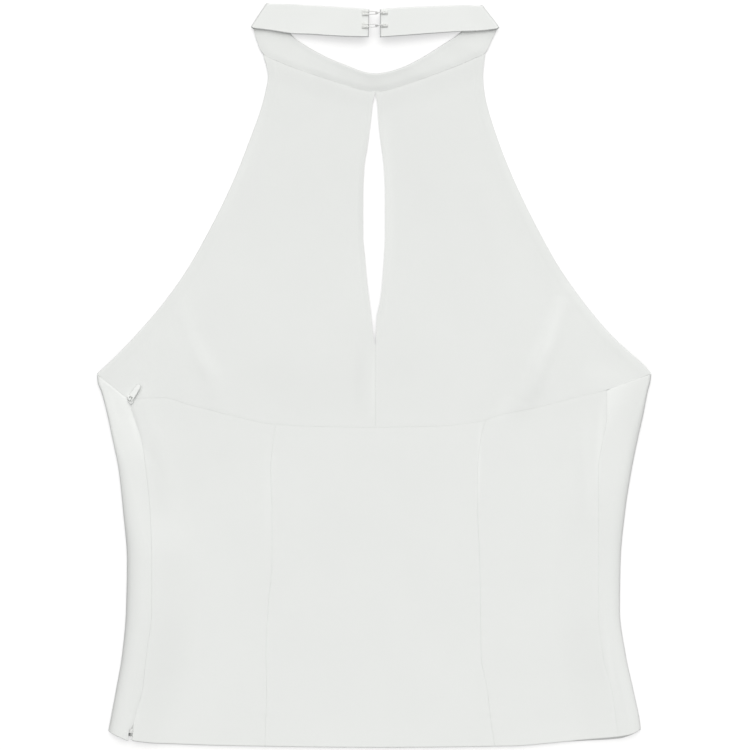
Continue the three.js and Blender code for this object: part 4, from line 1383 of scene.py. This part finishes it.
@dataclass
class BackPanel:
    """The back: it lies on the surface and wraps both sides up to the side seams."""

    form: BodyForm = field(default_factory=BodyForm)
    fronts: Fronts = field(default_factory=Fronts)
    # Painted light on the lower flank of the side folds.
    fold_painted_light: float = 0.09
    fold_painted_light_band: tuple[float, float] = (0.8, 3.2)
    wrap_width: float = 20.0
    wrap_steps: int = 22
    length: float = 262.0
    bend_steps: int = 28
    bottom_step: float = 2.0
    break_share: float = 0.94
    creases: tuple[Crease, ...] = (
        Crease(0.35, 9.0, ((-70, -40), (-78, -110), (-74, -200))),
        Crease(0.35, 9.0, ((72, -36), (80, -120), (74, -205))),
        Crease(0.3, 12.0, ((-140, -30), (-120, -80), (-118, -150))),
        Crease(0.3, 12.0, ((140, -40), (124, -90), (120, -170))),
        Crease(0.3, 14.0, ((0, -40), (6, -120), (-2, -230))),
    )

    def wrap(self, side: Side, share: Array, up: Array) -> tuple[Array, Array]:
        """The wrap from the side seam on the front layer to its fold.

        Args:
            side: which side.
            share: grid of shares from the seam to the bend.
            up: grid of shares from the hem to the top edge.

        Returns:
            The outer and the inner points.
        """
        form = self.form
        sign, seam = side.value, form.side_seam(side)
        level, top_level = form.hem_level, float(form.back_top(UNDERARM[side][0]))
        corner_x = form.crest(side, top_level) - sign * form.wall / 2
        hem_x = blend_between(seam(level), form.crest(side, level), share)
        top_x = blend_between(corner_x, form.crest(side, top_level), share)
        top_y = self.wrap_top(side, top_x)
        y = self.rows(form.front_hem(hem_x), SIDE_TOP[side][1], top_y, up)
        (start_x, start_y), end_y = SIDE_TOP[side], float(form.corner_line(side, corner_x))
        past = np.clip((y - start_y) / (end_y - start_y), 0, 1)
        edge = np.where(up <= self.break_share, seam(y), blend_between(start_x, corner_x, past))
        gap = self.fronts.seam_gap
        if side is Side.LEFT:
            gap = np.where(up <= self.break_share, self.fronts.zip_half_gap(y, side.value), gap)
        x = blend_between(edge + sign * gap, form.crest(side, y), share)
        plan = np.dstack([x, y])
        under = form.underside(plan)
        rim = ZIP_RIM if side is Side.LEFT else SIDE_RIM
        distance = np.hypot(x - x[:, :1], 0) if share[0, 0] == 0 else np.hypot(x - x[:, -1:], 0)
        lift = rim.lift(distance, plan) + Relief.lift(plan) * ease(1 - share, 0, 0.4)
        outer = np.dstack([x, y, under + form.wall + lift])
        return outer, np.dstack([x, y, under])

    def wrap_top(self, side: Side, x: Array) -> Array:
        """Top edge of the wrap: the diagonal seam, then the level top edge."""
        top_level = float(self.form.back_top(UNDERARM[side][0]))
        return np.minimum(top_level, self.form.corner_line(side, x) - 2 * self.fronts.seam_gap)

    def rows(self, hem_y: Array, break_y: Any, top_y: Array, up: Array) -> Array:
        """Heights of the rows at one place round the girth."""
        below = blend_between(hem_y, break_y, up / self.break_share)
        above = blend_between(break_y, top_y, (up - self.break_share) / (1 - self.break_share))
        return np.where(up <= self.break_share, below, above)

    def bend(self, side: Side, turn: Array, up: Array) -> tuple[Array, Array]:
        """The round fold at one side.

        Args:
            side: which side.
            turn: grid of angles from 0 at the front layer to a half turn at the back.
            up: grid of shares from the hem to the top edge.

        Returns:
            The outer and the inner points.
        """
        form, over = self.form, turn < math.pi / 2
        top_level = float(form.back_top(UNDERARM[side][0]))
        hem_x = self.fold_points(side, turn, form.hem_level)[0][..., 0]
        top_x = self.fold_points(side, turn, top_level)[0][..., 0]
        hem_y = np.where(over, form.front_hem(hem_x), form.back_hem(hem_x))
        top_y = np.where(over, self.wrap_top(side, top_x), top_level)
        return self.fold_points(side, turn, self.rows(hem_y, SIDE_TOP[side][1], top_y, up))

    def fold_points(self, side: Side, turn: Array, y: Any) -> tuple[Array, Array]:
        """A side fold's section: a long quarter ellipse over the top, then a round quarter.

        Args:
            side: which side.
            turn: grid of angles from 0 at the crest to a half turn at the surface.
            y: heights of the points.

        Returns:
            The outer and the inner points.
        """
        form, y = self.form, np.broadcast_to(y, turn.shape)
        over, edge = turn < math.pi / 2, form.edge(y)
        reach = np.where(over, form.run[side](y), edge)
        climb = np.where(over, form.rise[side](y) - edge, edge)
        x = form.fold[side](y) - side.value * reach * (1 - np.sin(turn))
        outer = np.dstack([x, y, edge + climb * np.cos(turn)])
        slope = np.dstack([side.value * np.sin(turn) / reach, np.zeros(x.shape), np.cos(turn) / climb])
        return outer, outer - form.wall * slope / np.linalg.norm(slope, axis=-1, keepdims=True)

    def bottom(self, share: Array, up: Array) -> tuple[Array, Array]:
        """The part that lies on the surface.

        Args:
            share: grid of shares from the left fold to the right fold.
            up: grid of shares from the hem to the top edge.

        Returns:
            The outer and the inner points.
        """
        form = self.form

        def reach(y: Any) -> Array:
            """Its place across at a height."""
            start = form.fold[Side.LEFT](y) + form.edge(y)
            return blend_between(start, form.fold[Side.RIGHT](y) - form.edge(y), share)

        break_y = blend_between(SIDE_TOP[Side.LEFT][1], SIDE_TOP[Side.RIGHT][1], share)
        top_y = form.back_top(reach(UNDERARM[Side.LEFT][1]))
        y = self.rows(form.back_hem(reach(form.hem_level)), break_y, top_y, up)
        x = reach(y)
        lift = sum(crease.lift(np.dstack([x, y])) for crease in self.creases)
        return np.dstack([x, y, lift]), np.dstack([x, y, lift + form.wall])

    def shape(self, across: Array, up: Array) -> Wall:
        """Points of the whole wall, from the left side seam round to the right side seam."""
        wraps = dense_at_ends(self.wrap_width, self.wrap_width / self.wrap_steps, RIM_STEPS)
        turns = np.linspace(0, math.pi, self.bend_steps + 1)[1:-1]
        middle = np.linspace(0, 1, round(366 / self.bottom_step) + 1)
        up = up[:, 0]
        parts = [
            self.wrap(Side.LEFT, *np.meshgrid(wraps, up)),
            self.bend(Side.LEFT, *np.meshgrid(turns, up)),
            self.bottom(*np.meshgrid(middle, up)),
            self.bend(Side.RIGHT, *np.meshgrid(turns[::-1], up)),
            self.wrap(Side.RIGHT, *np.meshgrid(wraps[::-1], up)),
        ]
        outer = np.concatenate([part[0] for part in parts], axis=1)
        inner = np.concatenate([part[1] for part in parts], axis=1)
        share = np.minimum(
            round_edge(up * self.length, HEM_RIM.radius), round_edge((1 - up) * self.length, 0.5)
        )
        share = np.repeat(share[:, None], outer.shape[1], axis=1)
        seam = round_edge(wraps * self.wrap_width, SIDE_RIM.radius)
        share[:, : len(wraps)] = np.minimum(share[:, : len(wraps)], seam)
        share[:, -len(wraps) :] = np.minimum(share[:, -len(wraps) :], seam[::-1])
        centre = (outer + inner) / 2
        form_edge = self.form.edge(outer[..., 1])
        girth = np.linalg.norm(np.diff(outer, axis=1), axis=-1).cumsum(axis=1)
        girth = np.concatenate([np.zeros((len(girth), 1)), girth], axis=1)
        grain = np.dstack([girth, outer[..., 1]])
        half = (outer - centre) * share[..., None]
        rising = outer[..., 2] - form_edge
        # Painted light on the lower flank of each side fold, lifting the shade where the fold turns down.
        tone = Tones.of(outer[..., :2]) + self.fold_painted_light * (1 - ease(rising, *self.fold_painted_light_band))
        tone = tone * (rising > 0)
        return Wall(centre - half, centre + half, grain, tone)

    def build(self, dresser: Dresser) -> None:
        """Makes and finishes the back."""
        up = dense_at_ends(self.length, self.bottom_step, RIM_STEPS)
        wall = self.shape(np.zeros((1, 1)), up[:, None])
        columns = wall.upper.shape[1]
        across = np.linspace(0, 1, columns)
        piece = Cloth.make("back_panel_cloth", across, up, lambda u, v: self.shape(u, v))
        dresser.dress(piece, dresser.crepe, nodes=["back_panel"])
        LOG.info("back cut: girth %s area %.5f", wall.grain[::40, -1, 0], flat_area(wall.lower))
        BACK_CUT.declare(piece, "laid", ["front_lower_left", "front_lower_right"])


@dataclass
class Neckband:
    """The folded band: its front is sewn to the upper fronts and its ends close behind the neck."""

    wall: float = 2.2
    fold_radius: float = 1.4
    back_level: float = 3.9
    end_level: float = 7.2
    step: float = 1.2
    fold_steps: int = 12
    seam_radius: float = 0.5
    seam_share: float = 0.72
    seam_taper: float = 4.5
    free_radius: float = 1.0
    # Painted highlight over the back ends, and painted light along their edges to lift the shade of the edge
    # faces.
    back_painted_light: float = 0.036
    rim_painted_light: float = 0.08
    rim_painted_light_band: tuple[float, float] = (0.2, 1.4)

    def front(self) -> tuple[Array, Array]:
        """Seam edge and free edge of the front half."""
        share = np.linspace(0, 1, round(236 / self.step) + 1)
        seam = through(BAND_FRONT.points("seam_x", "seam_y"), share)
        free = through(BAND_FRONT.points("free_x", "free_y"), share)
        rows = np.arange(len(BAND_FRONT["lift"]), dtype=float)
        lift = SmoothCurve(rows, BAND_FRONT["lift"])(share * rows[-1])
        low = np.full(share.shape, self.wall / 2)
        return np.column_stack([seam, low]), np.column_stack([free, low + lift])

    def end(self, table: Table) -> tuple[Array, Array]:
        """Seam edge and free edge of one back end, from its side fold."""
        share = np.linspace(0, 1, round(84 / self.step) + 1)
        level = blend_between(self.back_level, self.end_level, ease(share, 0.15, 0.9))
        seam = through(table.points("seam_x", "seam_y"), share)
        free = through(table.points("free_x", "free_y"), share)
        return np.column_stack([seam, level]), np.column_stack([free, level])

    def fold(self, row: int) -> tuple[Array, Array]:
        """Seam edge and free edge of one side fold, from the front to the back."""
        seam = BAND_FRONT.points("seam_x", "seam_y")[row]
        free = BAND_FRONT.points("free_x", "free_y")[row]
        along = (free - seam) / math.dist(free, seam)
        outward = np.array([-along[1], along[0]]) * -np.sign(seam[0])
        turn = np.linspace(0, math.pi, self.fold_steps + 1)
        shift = self.fold_radius * np.sin(turn)[:, None] * outward
        level = self.wall / 2 + self.fold_radius * (1 - np.cos(turn))
        return np.column_stack([seam + shift, level]), np.column_stack([free + shift, level])

    def edges(self) -> tuple[Array, Array]:
        """Seam edge and free edge of the whole strip from one back end to the other."""
        parts = [
            tuple(edge[::-1] for edge in self.end(BAND_BACK_LEFT)),
            tuple(edge[::-1] for edge in self.fold(0)),
            self.front(),
            self.fold(-1),
            self.end(BAND_BACK_RIGHT),
        ]
        seam = np.concatenate([part[0][1 if i else 0 :] for i, part in enumerate(parts)])
        free = np.concatenate([part[1][1 if i else 0 :] for i, part in enumerate(parts)])
        return seam, free

    def shape(self, across: Array, up: Array) -> Wall:
        """Points of the band's wall."""
        seam, free = self.edges()
        width = up[:, :1, None]
        middle = seam[None] * (1 - width) + free[None] * width
        along = np.gradient(middle, axis=1)
        normal = np.cross(along, (free - seam)[None])
        normal /= np.linalg.norm(normal, axis=-1, keepdims=True)
        length = np.linalg.norm(np.diff(middle, axis=1), axis=-1).mean(0).cumsum()
        length = np.concatenate([[0.0], length])
        from_seam = np.linalg.norm(middle - middle[:1], axis=-1)
        from_free = np.linalg.norm(middle - middle[-1:], axis=-1)
        share = round_edge(from_free, self.free_radius)
        for end in (middle[:, :1], middle[:, -1:]):
            share = np.minimum(share, round_edge(np.linalg.norm(middle - end, axis=-1), self.free_radius))
        back = self.back_share(middle)
        tapered = self.seam_share + (1 - self.seam_share) * ease(from_seam, 0, self.seam_taper)
        rounded = round_edge(from_seam, self.seam_radius)
        share = share * (rounded * back + tapered * round_edge(from_seam, 0.03) * (1 - back))
        seam_relief = SeamRelief(0.12, 1.2, 0.09, 4.0, (9.9, 16.1, 31.0), 71)
        lift = seam_relief.lift(from_seam, length[None])
        lift += 0.12 * wander(length[None] + 0.6 * from_seam, (37.0, 23.0, 61.0), 91)
        lift += 0.12 * (1 - ease(from_free, 1.5, 4.5))
        half = normal * ((self.wall / 2 + lift) * share)[..., None]
        plain = normal * (self.wall / 2 * share)[..., None]
        upper, lower = middle + half, middle - plain
        upper[..., 2] = np.maximum(upper[..., 2], 0)
        lower[..., 2] = np.maximum(lower[..., 2], 0)
        grain = np.dstack([np.broadcast_to(length, from_seam.shape), from_seam])
        # Painted light on the back ends only: a painted highlight over them and more along their edges, where
        # the edge faces lie in shade.
        rim = self.rim_painted_light * (1 - ease(np.minimum(from_seam, from_free), *self.rim_painted_light_band))
        return Wall(upper, lower, grain, (self.back_painted_light + rim) * back)

    def back_share(self, middle: Array) -> Array:
        """1 on the ends that lie behind the neck, 0 on the front half."""
        return ease(middle[..., 2], self.wall / 2 + self.fold_radius, self.back_level)

    def build(self, dresser: Dresser) -> None:
        """Makes and finishes the band."""
        rim = (0.0, 0.08, 0.22, 0.45, 0.75, 1.1, 1.6, 2.2)
        up = dense_at_ends(20.0, 1.0, rim)
        wall = self.shape(np.zeros((1, 1)), up[:, None])
        across = np.linspace(0, 1, wall.upper.shape[1])
        piece = Cloth.make("neckband_cloth", across, up, self.shape)
        dresser.dress(piece, dresser.crepe, nodes=["neckband"])
        LOG.info("band cut: length %.1f area %.5f", wall.grain[0, -1, 0], flat_area(wall.upper))
        BAND_CUT.declare(piece, "folded", ["front_upper_left", "front_upper_right"])


class Wirework:
    """Makes round wire and thread in bmesh."""

    @staticmethod
    def sweep(
        work: bmesh.types.BMesh, path: Sequence[Sequence[float]], radius: float, sides: int = 8
    ) -> None:
        """Adds a capped tube along a path.

        Args:
            work: the mesh that it is added to.
            path: points of its middle line, in millimetres.
            radius: its radius in millimetres.
            sides: faces round it.
        """
        points = [Vector(point) * MM for point in path]
        ways = [(b - a).normalized() for a, b in zip(points[:-1], points[1:])]
        tangents = [ways[0]] + [(a + b).normalized() for a, b in zip(ways[:-1], ways[1:])] + [ways[-1]]
        turn = Vector((0, 0, 1)).rotation_difference(tangents[0])
        ring = bmesh.ops.create_circle(
            work, segments=sides, radius=radius * MM, matrix=Matrix.LocRotScale(points[0], turn, None)
        )["verts"]
        first = list({edge for vert in ring for edge in vert.link_edges})
        edges = first
        for i in range(1, len(points)):
            made = bmesh.ops.extrude_edge_only(work, edges=edges)["geom"]
            verts = [item for item in made if isinstance(item, bmesh.types.BMVert)]
            swing = tangents[i - 1].rotation_difference(tangents[i])
            move = Matrix.Translation(points[i]) @ swing.to_matrix().to_4x4()
            move = move @ Matrix.Translation(-points[i - 1])
            bmesh.ops.transform(work, matrix=move, verts=verts)
            edges = [
                item
                for item in made
                if isinstance(item, bmesh.types.BMEdge) and all(v in verts for v in item.verts)
            ]
        bmesh.ops.contextual_create(work, geom=first)
        bmesh.ops.contextual_create(work, geom=edges)

    @staticmethod
    def piece(name: str, work: bmesh.types.BMesh) -> bpy.types.Object:
        """Ends a mesh and links it.

        Args:
            name: the piece's name.
            work: the mesh, freed afterwards.

        Returns:
            The piece.
        """
        bmesh.ops.remove_doubles(work, verts=work.verts, dist=1e-7)
        bmesh.ops.recalc_face_normals(work, faces=work.faces)
        for face in work.faces:
            face.smooth = True
        mesh = bpy.data.meshes.new(name)
        work.to_mesh(mesh)
        work.free()
        piece = bpy.data.objects.new(name, mesh)
        bpy.context.scene.collection.objects.link(piece)
        return piece

    @staticmethod
    def smooth(points: Sequence[Sequence[float]], count: int) -> Array:
        """A smooth path through points."""
        return through(np.array(points, float), np.linspace(0, 1, count + 1))


@dataclass
class Closure:
    """Hooks and eyes that close the band behind the neck, sewn on with thread."""

    heights: tuple[tuple[str, float], ...] = (("upper", 261.2), ("lower", 252.0))
    level: float = 9.05
    wire: float = 0.36
    bar_x: float = 2.2
    eye_foot: float = -8.5
    hook_foot: float = 9.5
    spread: float = 1.0
    thread: float = 0.14
    stitch_count: int = 13
    stitch_half: float = 1.5
    stitch_drop: float = 0.95
    stitch_rise: float = 1.35

    def eye_path(self, y: float) -> Array:
        """Middle line of an eye's wire."""
        x, foot, w = self.bar_x, self.eye_foot, self.spread
        near = [(foot, 0.35), (foot + 0.5, 0.8), (foot + 1.4, w), (-4, w), (-1, w)]
        half = near + [(x - 0.5, 0.9), (x, 0.3)]
        lower = [(px, y - py, self.level) for px, py in half]
        upper = [(px, y + py, self.level) for px, py in half[::-1]]
        return Wirework.smooth(lower + upper, 56)

    def hook_path(self, y: float) -> Array:
        """Middle line of a hook's wire."""
        clear, x, z = 1.25, self.bar_x, self.level
        points = [
            (self.hook_foot, 0),
            (7, 0),
            (4.8, clear * 0.8),
            (x, clear),
            (x - clear * 0.75, clear * 0.7),
            (x - clear, 0),
            (x - clear * 0.75, -clear * 0.75),
            (x, -clear),
            (3.2, -clear),
        ]
        return Wirework.smooth([(px, y, z + pz) for px, pz in points], 48)

    def wraps(self, work: bmesh.types.BMesh, start: float, end: float, y: float, half: float) -> None:
        """Stitches that hold a foot down, side by side along it.

        Args:
            work: the mesh that they are added to.
            start: where the first one lies.
            end: where the last one lies.
            y: height of the foot's middle line.
            half: half of the width that they span.
        """
        for i in range(self.stitch_count):
            x = start + (end - start) * i / (self.stitch_count - 1)
            lean = 0.12 * math.sin(2.4 * i)
            turns = np.linspace(0, math.pi, 9)
            base = self.level - self.stitch_drop
            path = [
                (x + lean * math.cos(t), y + half * math.cos(t), base + self.stitch_rise * math.sin(t) ** 1.5)
                for t in turns
            ]
            Wirework.sweep(work, path, self.thread, 6)

    def build(self, dresser: Dresser) -> None:
        """Makes and finishes both pairs and their stitches."""
        for name, y in self.heights:
            work = bmesh.new()
            Wirework.sweep(work, self.eye_path(y), self.wire, 10)
            eye = Wirework.piece(f"eye_{name}_wire", work)
            dresser.dress(eye, dresser.wire, nodes=[f"eye_{name}"])
            work = bmesh.new()
            Wirework.sweep(work, self.hook_path(y), self.wire, 10)
            hook = Wirework.piece(f"hook_{name}_wire", work)
            dresser.dress(hook, dresser.wire, nodes=[f"hook_{name}"])
            work = bmesh.new()
            for foot in (-1, 1):
                middle = y + foot * 0.9 * self.spread
                self.wraps(work, self.eye_foot + 0.1, -4.5, middle, self.stitch_half)
            self.wraps(work, 5.2, self.hook_foot + 0.1, y, self.stitch_half)
            stitches = Wirework.piece(f"closure_stitches_{name}", work)
            dresser.dress(stitches, dresser.thread)


@dataclass
class Zip:
    """The invisible zip in the left side seam: tape, coil, slider and pull tab."""

    form: BodyForm = field(default_factory=BodyForm)
    half_width: float = 6.0
    tape_below: float = 0.4
    tape_wall: float = 0.9
    tape_top: float = -20.5
    tape_foot: float = -259.0
    tooth_pitch: float = 0.95
    slider_place: tuple[float, float] = (-176.5, -17.6)
    slider_angle: float = 106.0
    slider_bottom: float = 4.75
    pin_level: float = 6.5
    pull_angle: float = 56.0
    stitches: tuple[tuple[float, float, float], ...] = (
        (-179.6, -257.2, 0.3),
        (-179.8, -259.4, -0.2),
        (-174.3, -256.2, 0.1),
        (-174.2, -258.3, 0.4),
        (-174.4, -260.2, 0.0),
    )

    def tape_shape(self, across: Array, up: Array) -> Wall:
        """Points of the tape's wall."""
        y = blend_between(self.tape_foot, self.tape_top, up)
        x = self.form.side_seam(Side.LEFT)(y) + (2 * across - 1) * self.half_width
        edge = self.half_width * (1 - np.abs(2 * across - 1))
        end = (self.tape_top - self.tape_foot) * np.minimum(up, 1 - up)
        share = np.minimum(round_edge(edge, 0.35), round_edge(end, 0.35))
        middle = self.form.underside(np.dstack([x, y])) - self.tape_below - self.tape_wall / 2
        half = self.tape_wall / 2 * share
        grain = np.dstack([(2 * across - 1) * self.half_width, y])
        return Wall(np.dstack([x, y, middle + half]), np.dstack([x, y, middle - half]), grain)

    def tape(self, dresser: Dresser) -> None:
        """Makes the tape."""
        rim = (0.0, 0.06, 0.16, 0.35)
        across = dense_at_ends(2 * self.half_width, 0.8, rim)
        up = dense_at_ends(self.tape_top - self.tape_foot, 2.4, rim)
        piece = Cloth.make("zip_tape_cloth", across, up, self.tape_shape)
        dresser.dress(piece, dresser.tape, nodes=["zip_tape"])
        TAPE_CUT.declare(piece, "laid", ["back_panel"])

    def coil(self, dresser: Dresser) -> None:
        """Makes the two rows of teeth that meet under the seam, running on past the tape's foot."""
        work = bmesh.new()
        foot = self.tape_foot - 4.4
        count = int((self.tape_top - 2 - foot) / self.tooth_pitch)
        size = Vector((1.5, 0.62, 0.36)) * MM
        for i in range(count):
            y = foot + i * self.tooth_pitch
            side = 1 if i % 2 else -1
            x = float(self.form.side_seam(Side.LEFT)(y)) + side * 0.42
            level = float(self.form.underside(np.array([x, y]))) - self.tape_below
            place = Vector((x, y, level + 0.19)) * MM
            bmesh.ops.create_cube(work, size=1, matrix=Matrix.LocRotScale(place, None, size))
        bmesh.ops.bevel(
            work, geom=work.edges[:], offset=0.0001, segments=1, profile=0.5, affect="EDGES", material=-1
        )
        teeth = Wirework.piece("zip_coil", work)
        dresser.dress(teeth, dresser.enamel)

    def foot_stitches(self, dresser: Dresser) -> None:
        """Makes the hand stitches that hold the zip's foot at the hem."""
        work = bmesh.new()
        for x, y, tilt in self.stitches:
            level = float(self.form.underside(np.array([x, y]))) + self.form.wall
            start, end = (x - 0.45, y - tilt, level - 0.15), (x + 0.45, y + tilt, level - 0.15)
            path = [start, (x, y, level + 0.12), end]
            Wirework.sweep(work, Wirework.smooth(path, 6), 0.13, 6)
        stitches = Wirework.piece("zip_foot_stitches", work)
        dresser.dress(stitches, dresser.thread)

    def slider(self, dresser: Dresser) -> None:
        """Makes the slider: a crown with rounded ends and a bridge for the tab."""
        work = bmesh.new()
        made = bmesh.ops.create_cube(work, size=1, matrix=Matrix.Diagonal((7 * MM, 3.4 * MM, 0.8 * MM, 1)))
        upright = [
            edge
            for edge in {e for v in made["verts"] for e in v.link_edges}
            if abs(edge.verts[0].co.z - edge.verts[1].co.z) > 0.5 * MM
        ]
        bmesh.ops.bevel(
            work, geom=upright, offset=1.6 * MM, segments=6, profile=0.5, affect="EDGES", material=-1
        )
        rims = [
            edge
            for edge in work.edges
            if abs(edge.verts[0].co.z - edge.verts[1].co.z) < 0.01 * MM and len(edge.link_faces) == 2
            and abs(edge.link_faces[0].normal.z - edge.link_faces[1].normal.z) > 0.5
        ]
        bmesh.ops.bevel(
            work, geom=rims, offset=0.22 * MM, segments=3, profile=0.5, affect="EDGES", material=-1
        )
        turn = Matrix.Rotation(math.radians(self.slider_angle), 4, "Z")
        centre = Vector((*self.slider_place, self.slider_bottom + 0.4)) * MM
        bmesh.ops.transform(work, matrix=Matrix.Translation(centre) @ turn, verts=work.verts)
        arch = [(1.1, -0.95)] + [
            (1.1 * math.cos(t), 1.1 * math.sin(t)) for t in np.linspace(0, math.pi, 13)
        ] + [(-1.1, -0.95)]
        way = Vector((math.cos(math.radians(self.pull_angle)), math.sin(math.radians(self.pull_angle)), 0))
        cross = Vector((-way.y, way.x, 0))
        for side in (-0.4, 0.0, 0.4):
            path = [
                Vector((*self.slider_place, self.pin_level)) + way * px + cross * side + Vector((0, 0, pz))
                for px, pz in arch
            ]
            Wirework.sweep(work, path, 0.3, 10)
        piece = Wirework.piece("zip_slider_body", work)
        dresser.dress(piece, dresser.enamel, nodes=["zip_slider"])

    def pull(self, dresser: Dresser) -> None:
        """Makes the pull tab: a plate with a slot round the bridge and a rounded tip."""
        work = bmesh.new()
        columns = (-0.42, 0.42, 2.1, 4.2, 10.6, 12.5)
        halves = (2.0, 2.0, 2.0, 2.0, 1.6, 0.9)
        slots = (1.2, 1.2, 1.2, 1.0, 0.7, 0.4)
        bmesh.ops.create_grid(work, x_segments=5, y_segments=3, size=0.5)
        slot_faces = []
        for face in work.faces:
            centre = face.calc_center_median()
            if round((centre.x + 0.5) * 5 - 0.5) == 1 and round((centre.y + 0.5) * 3 - 0.5) == 1:
                slot_faces.append(face)
        bmesh.ops.delete(work, geom=slot_faces, context="FACES_ONLY")
        for vert in work.verts:
            i, j = round((vert.co.x + 0.5) * 5), round((vert.co.y + 0.5) * 3)
            across = (-halves[i], -slots[i], slots[i], halves[i])[j]
            vert.co = Vector((columns[i], across, -0.42)) * MM
        made = bmesh.ops.extrude_face_region(work, geom=work.faces[:])["geom"]
        verts = [item for item in made if isinstance(item, bmesh.types.BMVert)]
        bmesh.ops.translate(work, vec=(0, 0, 0.84 * MM), verts=verts)
        bmesh.ops.recalc_face_normals(work, faces=work.faces)
        rims = [edge for edge in work.edges if edge.calc_face_angle(0) > 0.3]
        bmesh.ops.bevel(
            work, geom=rims, offset=0.2 * MM, segments=3, profile=0.5, affect="EDGES", material=-1
        )
        turn = Matrix.Rotation(math.radians(self.pull_angle), 4, "Z")
        centre = Vector((*self.slider_place, self.pin_level)) * MM
        bmesh.ops.transform(work, matrix=Matrix.Translation(centre) @ turn, verts=work.verts)
        piece = Wirework.piece("zip_pull_tab", work)
        dresser.dress(piece, dresser.enamel, Body.PULL_TAB, ["zip_pull"])

    def build(self, dresser: Dresser) -> None:
        """Makes the whole zip."""
        self.tape(dresser)
        self.coil(dresser)
        self.foot_stitches(dresser)
        self.slider(dresser)
        self.pull(dresser)


@dataclass(frozen=True)
class Sun:
    """A broad soft light, as from a large softbox far away."""

    name: str
    strength: float
    height: float
    bearing: float
    size: float
    colour: tuple[float, float, float] = (1.0, 0.997, 0.985)

    def hang(self) -> None:
        """Adds it to the scene: its height and bearing are in degrees, the bearing from the neck."""
        lamp = bpy.data.lights.new(self.name, "SUN")
        lamp.energy, lamp.color, lamp.angle = self.strength, self.colour, math.radians(self.size)
        light = bpy.data.objects.new(self.name, lamp)
        light.rotation_euler = (-math.radians(90 - self.height), 0, math.radians(self.bearing))
        bpy.context.scene.collection.objects.link(light)


@dataclass
class Studio:
    """Camera, floor and light."""

    lens: float = 85.0
    sensor: float = 36.0
    centre: tuple[float, float] = (0.0006, -0.0001)
    cloth_level: float = 0.003
    sky: tuple[float, float, float] = (0.955, 0.965, 1.0)
    sky_strength: float = 0.1
    suns: tuple[Sun, ...] = (
        Sun("key", 1.75, 42.0, -5.0, 64.0),
        Sun("overhead", 2.1, 88.0, 0.0, 80.0),
    )

    def camera(self) -> None:
        """Looks straight down with the photo's frame."""
        lens = bpy.data.cameras.new("camera")
        lens.lens = self.lens
        lens.sensor_width = self.sensor
        lens.dof.use_dof = False
        lens.clip_end = 20.0
        camera = bpy.data.objects.new("camera", lens)
        across = IMAGE_PIXELS * MM_PER_PIXEL * MM
        camera.location = (*self.centre, across * self.lens / self.sensor + self.cloth_level)
        bpy.context.scene.collection.objects.link(camera)
        bpy.context.scene.camera = camera

    def floor(self) -> None:
        """Lays the plain white surface."""
        work = bmesh.new()
        place = Matrix.Translation((0, 0, -0.0001))
        bmesh.ops.create_grid(work, x_segments=4, y_segments=4, size=4.0, matrix=place)
        mesh = bpy.data.meshes.new("floor")
        work.to_mesh(mesh)
        work.free()
        floor = bpy.data.objects.new("floor", mesh)
        bpy.context.scene.collection.objects.link(floor)
        floor.data.materials.append(Paper().build())
        floor.visible_diffuse = False

    def light(self) -> None:
        """Sets a dim soft sky and the suns."""
        scene = bpy.context.scene
        world = bpy.data.worlds.new("sky")
        world.use_nodes = True
        background = world.node_tree.nodes["Background"]
        background.inputs["Color"].default_value = (*self.sky, 1.0)
        background.inputs["Strength"].default_value = self.sky_strength
        scene.world = world
        for sun in self.suns:
            sun.hang()
        scene.view_settings.view_transform = "Standard"
        scene.view_settings.look = "None"

    def build(self) -> None:
        """Makes the camera, the floor and the light."""
        self.camera()
        self.floor()
        self.light()


def main() -> None:
    """Builds and dresses the top."""
    logging.basicConfig(level=logging.INFO, format="%(name)s: %(message)s")
    Studio().build()
    dresser = Dresser()
    Fronts().build(dresser)
    BackPanel().build(dresser)
    Neckband().build(dresser)
    Zip().build(dresser)
    Closure().build(dresser)


if __name__ == "__main__":
    main()
